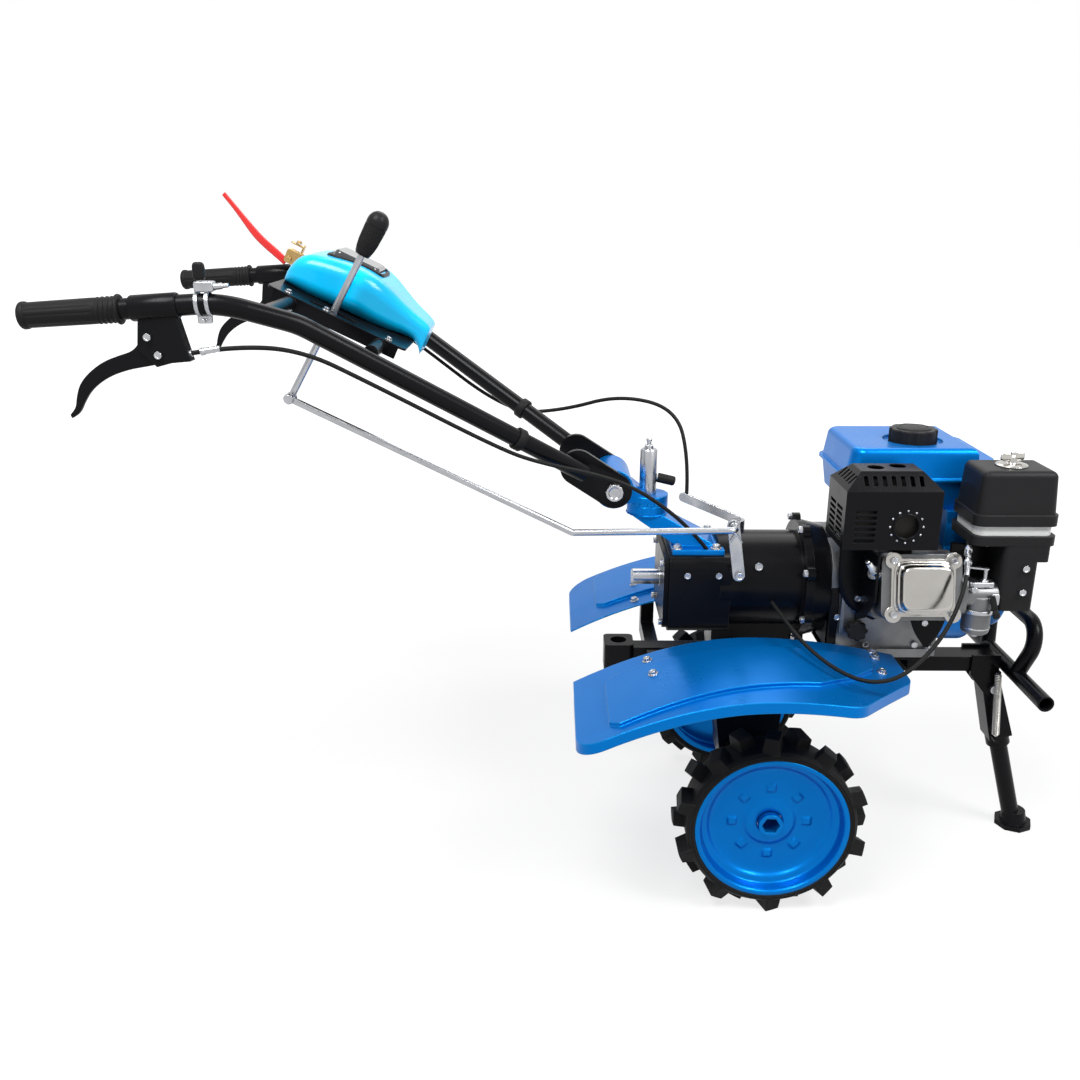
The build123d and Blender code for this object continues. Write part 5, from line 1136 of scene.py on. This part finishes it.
# %% Rod pin and clip
rod_pin = [
    (0, 0), (0, 6.5), (3, 7.6), (4.5, 7.6), (5, 5.6), (21, 5.6), (21.5, 7.6), (24, 7.6), (26, 6), (26, 0),
]
clip_bends = [(-4, -24), (5, -9), (6.4, 2), (2.5, 6.6), (-4, 6.2), (-6.6, 0), (-4, -6), (8, -15), (13, -24)]
clip_line = in_plane(np.array(clip_bends) + (-58, 571), -106.5)
rod_shapes = [
    turned(rod_pin, lever_low + 0.008 * leftward, -leftward, sides=32),
    ring_tube(evenly(smoothed(clip_line, rounds=4), count=72), radius=0.0011, sides=8),
]
made_piece("rod_fittings", rod_shapes, "handlebars", "zinc")

# %% [markdown]
# A white studio: a pale floor with the machine's soft shadow, broad lamps high at the camera's left and
# right and behind the machine, and a white world. The camera and mirror-like metal see white, while the
# light that falls on the machine stays at a plain level.

# %% Floor, world and lamps


def seen_directly(tree):
    """One where a ray comes from the camera, a glossy surface or glass, and nought for other light."""
    path = add_node(tree, "LightPath", {})
    total = path["Is Camera Ray"]
    for name in ("Is Glossy Ray", "Is Transmission Ray"):
        total = add_node(tree, "Math", {0: total, 1: path[name]}, operation="MAXIMUM")["Value"]
    return total


def floor_material():
    """Matt grey under a white glow that only direct looks see: weaker near the machine, full farther out."""
    material = bpy.data.materials.new("studio_floor")
    material.use_nodes = True
    tree = material.node_tree
    matt = tree.nodes["Principled BSDF"]
    feed(tree, matt, {"Base Color": (0.5, 0.5, 0.5, 1.0), "Roughness": 0.9, "Specular IOR Level": 0.0})
    glow = add_node(tree, "Emission", {"Strength": 1.24})
    place = add_node(tree, "TexCoord", {})["Object"]
    reach = add_node(tree, "VectorMath", {0: place}, operation="LENGTH")
    fade = add_node(tree, "MapRange", {
        "Value": reach["Value"], "From Min": 0.8, "From Max": 3.0, "To Min": 0.62, "To Max": 1.0,
    })
    share = add_node(tree, "Math", {0: seen_directly(tree), 1: fade["Result"]}, operation="MULTIPLY")
    both = add_node(tree, "MixShader", {0: share["Value"], 1: matt.outputs["BSDF"], 2: glow["Emission"]})
    feed(tree, tree.nodes["Material Output"], {"Surface": both["Shader"]})
    return material


def pale_floor(half_size):
    """A flat grid at height nought."""
    line = np.linspace(-half_size, half_size, 9)
    x, y = np.meshgrid(line, line, indexing="ij")
    points, faces = shape_from_grid(np.stack([x, y, np.zeros_like(x)], -1), wrap_columns=False)
    mesh = bpy.data.meshes.new("studio_floor")
    mesh.from_pydata(points.tolist(), [], faces.tolist())
    mesh.materials.append(floor_material())
    floor = bpy.data.objects.new("studio_floor", mesh)
    bpy.context.scene.collection.objects.link(floor)


def studio_world(ambient):
    """A world that shows white to the camera and to gloss, and lights with a grey of the given strength."""
    world = bpy.data.worlds.new("studio_world")
    bpy.context.scene.world = world
    world.use_nodes = True
    tree = world.node_tree
    level = add_node(tree, "MapRange", {"Value": seen_directly(tree), "To Min": ambient, "To Max": 1.0})
    feed(tree, tree.nodes["Background"], {"Color": (1.0, 1.0, 1.0, 1.0), "Strength": level["Result"]})


def soft_lamp(name, place, aim, size, power):
    """A square area lamp at a place, turned toward a point."""
    data = bpy.data.lights.new(name, "AREA")
    data.size = size
    data.energy = power
    lamp = bpy.data.objects.new(name, data)
    lamp.location = place
    lamp.rotation_euler = (Vector(aim) - Vector(place)).to_track_quat("-Z", "Y").to_euler()
    bpy.context.scene.collection.objects.link(lamp)


pale_floor(half_size=20)
studio_world(ambient=0.24)
machine_middle = (0.0, 0.0, 0.5)
soft_lamp("key_lamp", (-0.9, -1.5, 3.2), machine_middle, size=1.3, power=100)
soft_lamp("fill_lamp", (1.9, -1.2, 2.6), machine_middle, size=1.2, power=72)
soft_lamp("back_lamp", (0.4, 2.0, 3.0), machine_middle, size=2.0, power=36)
print("lamps: key, fill, back")
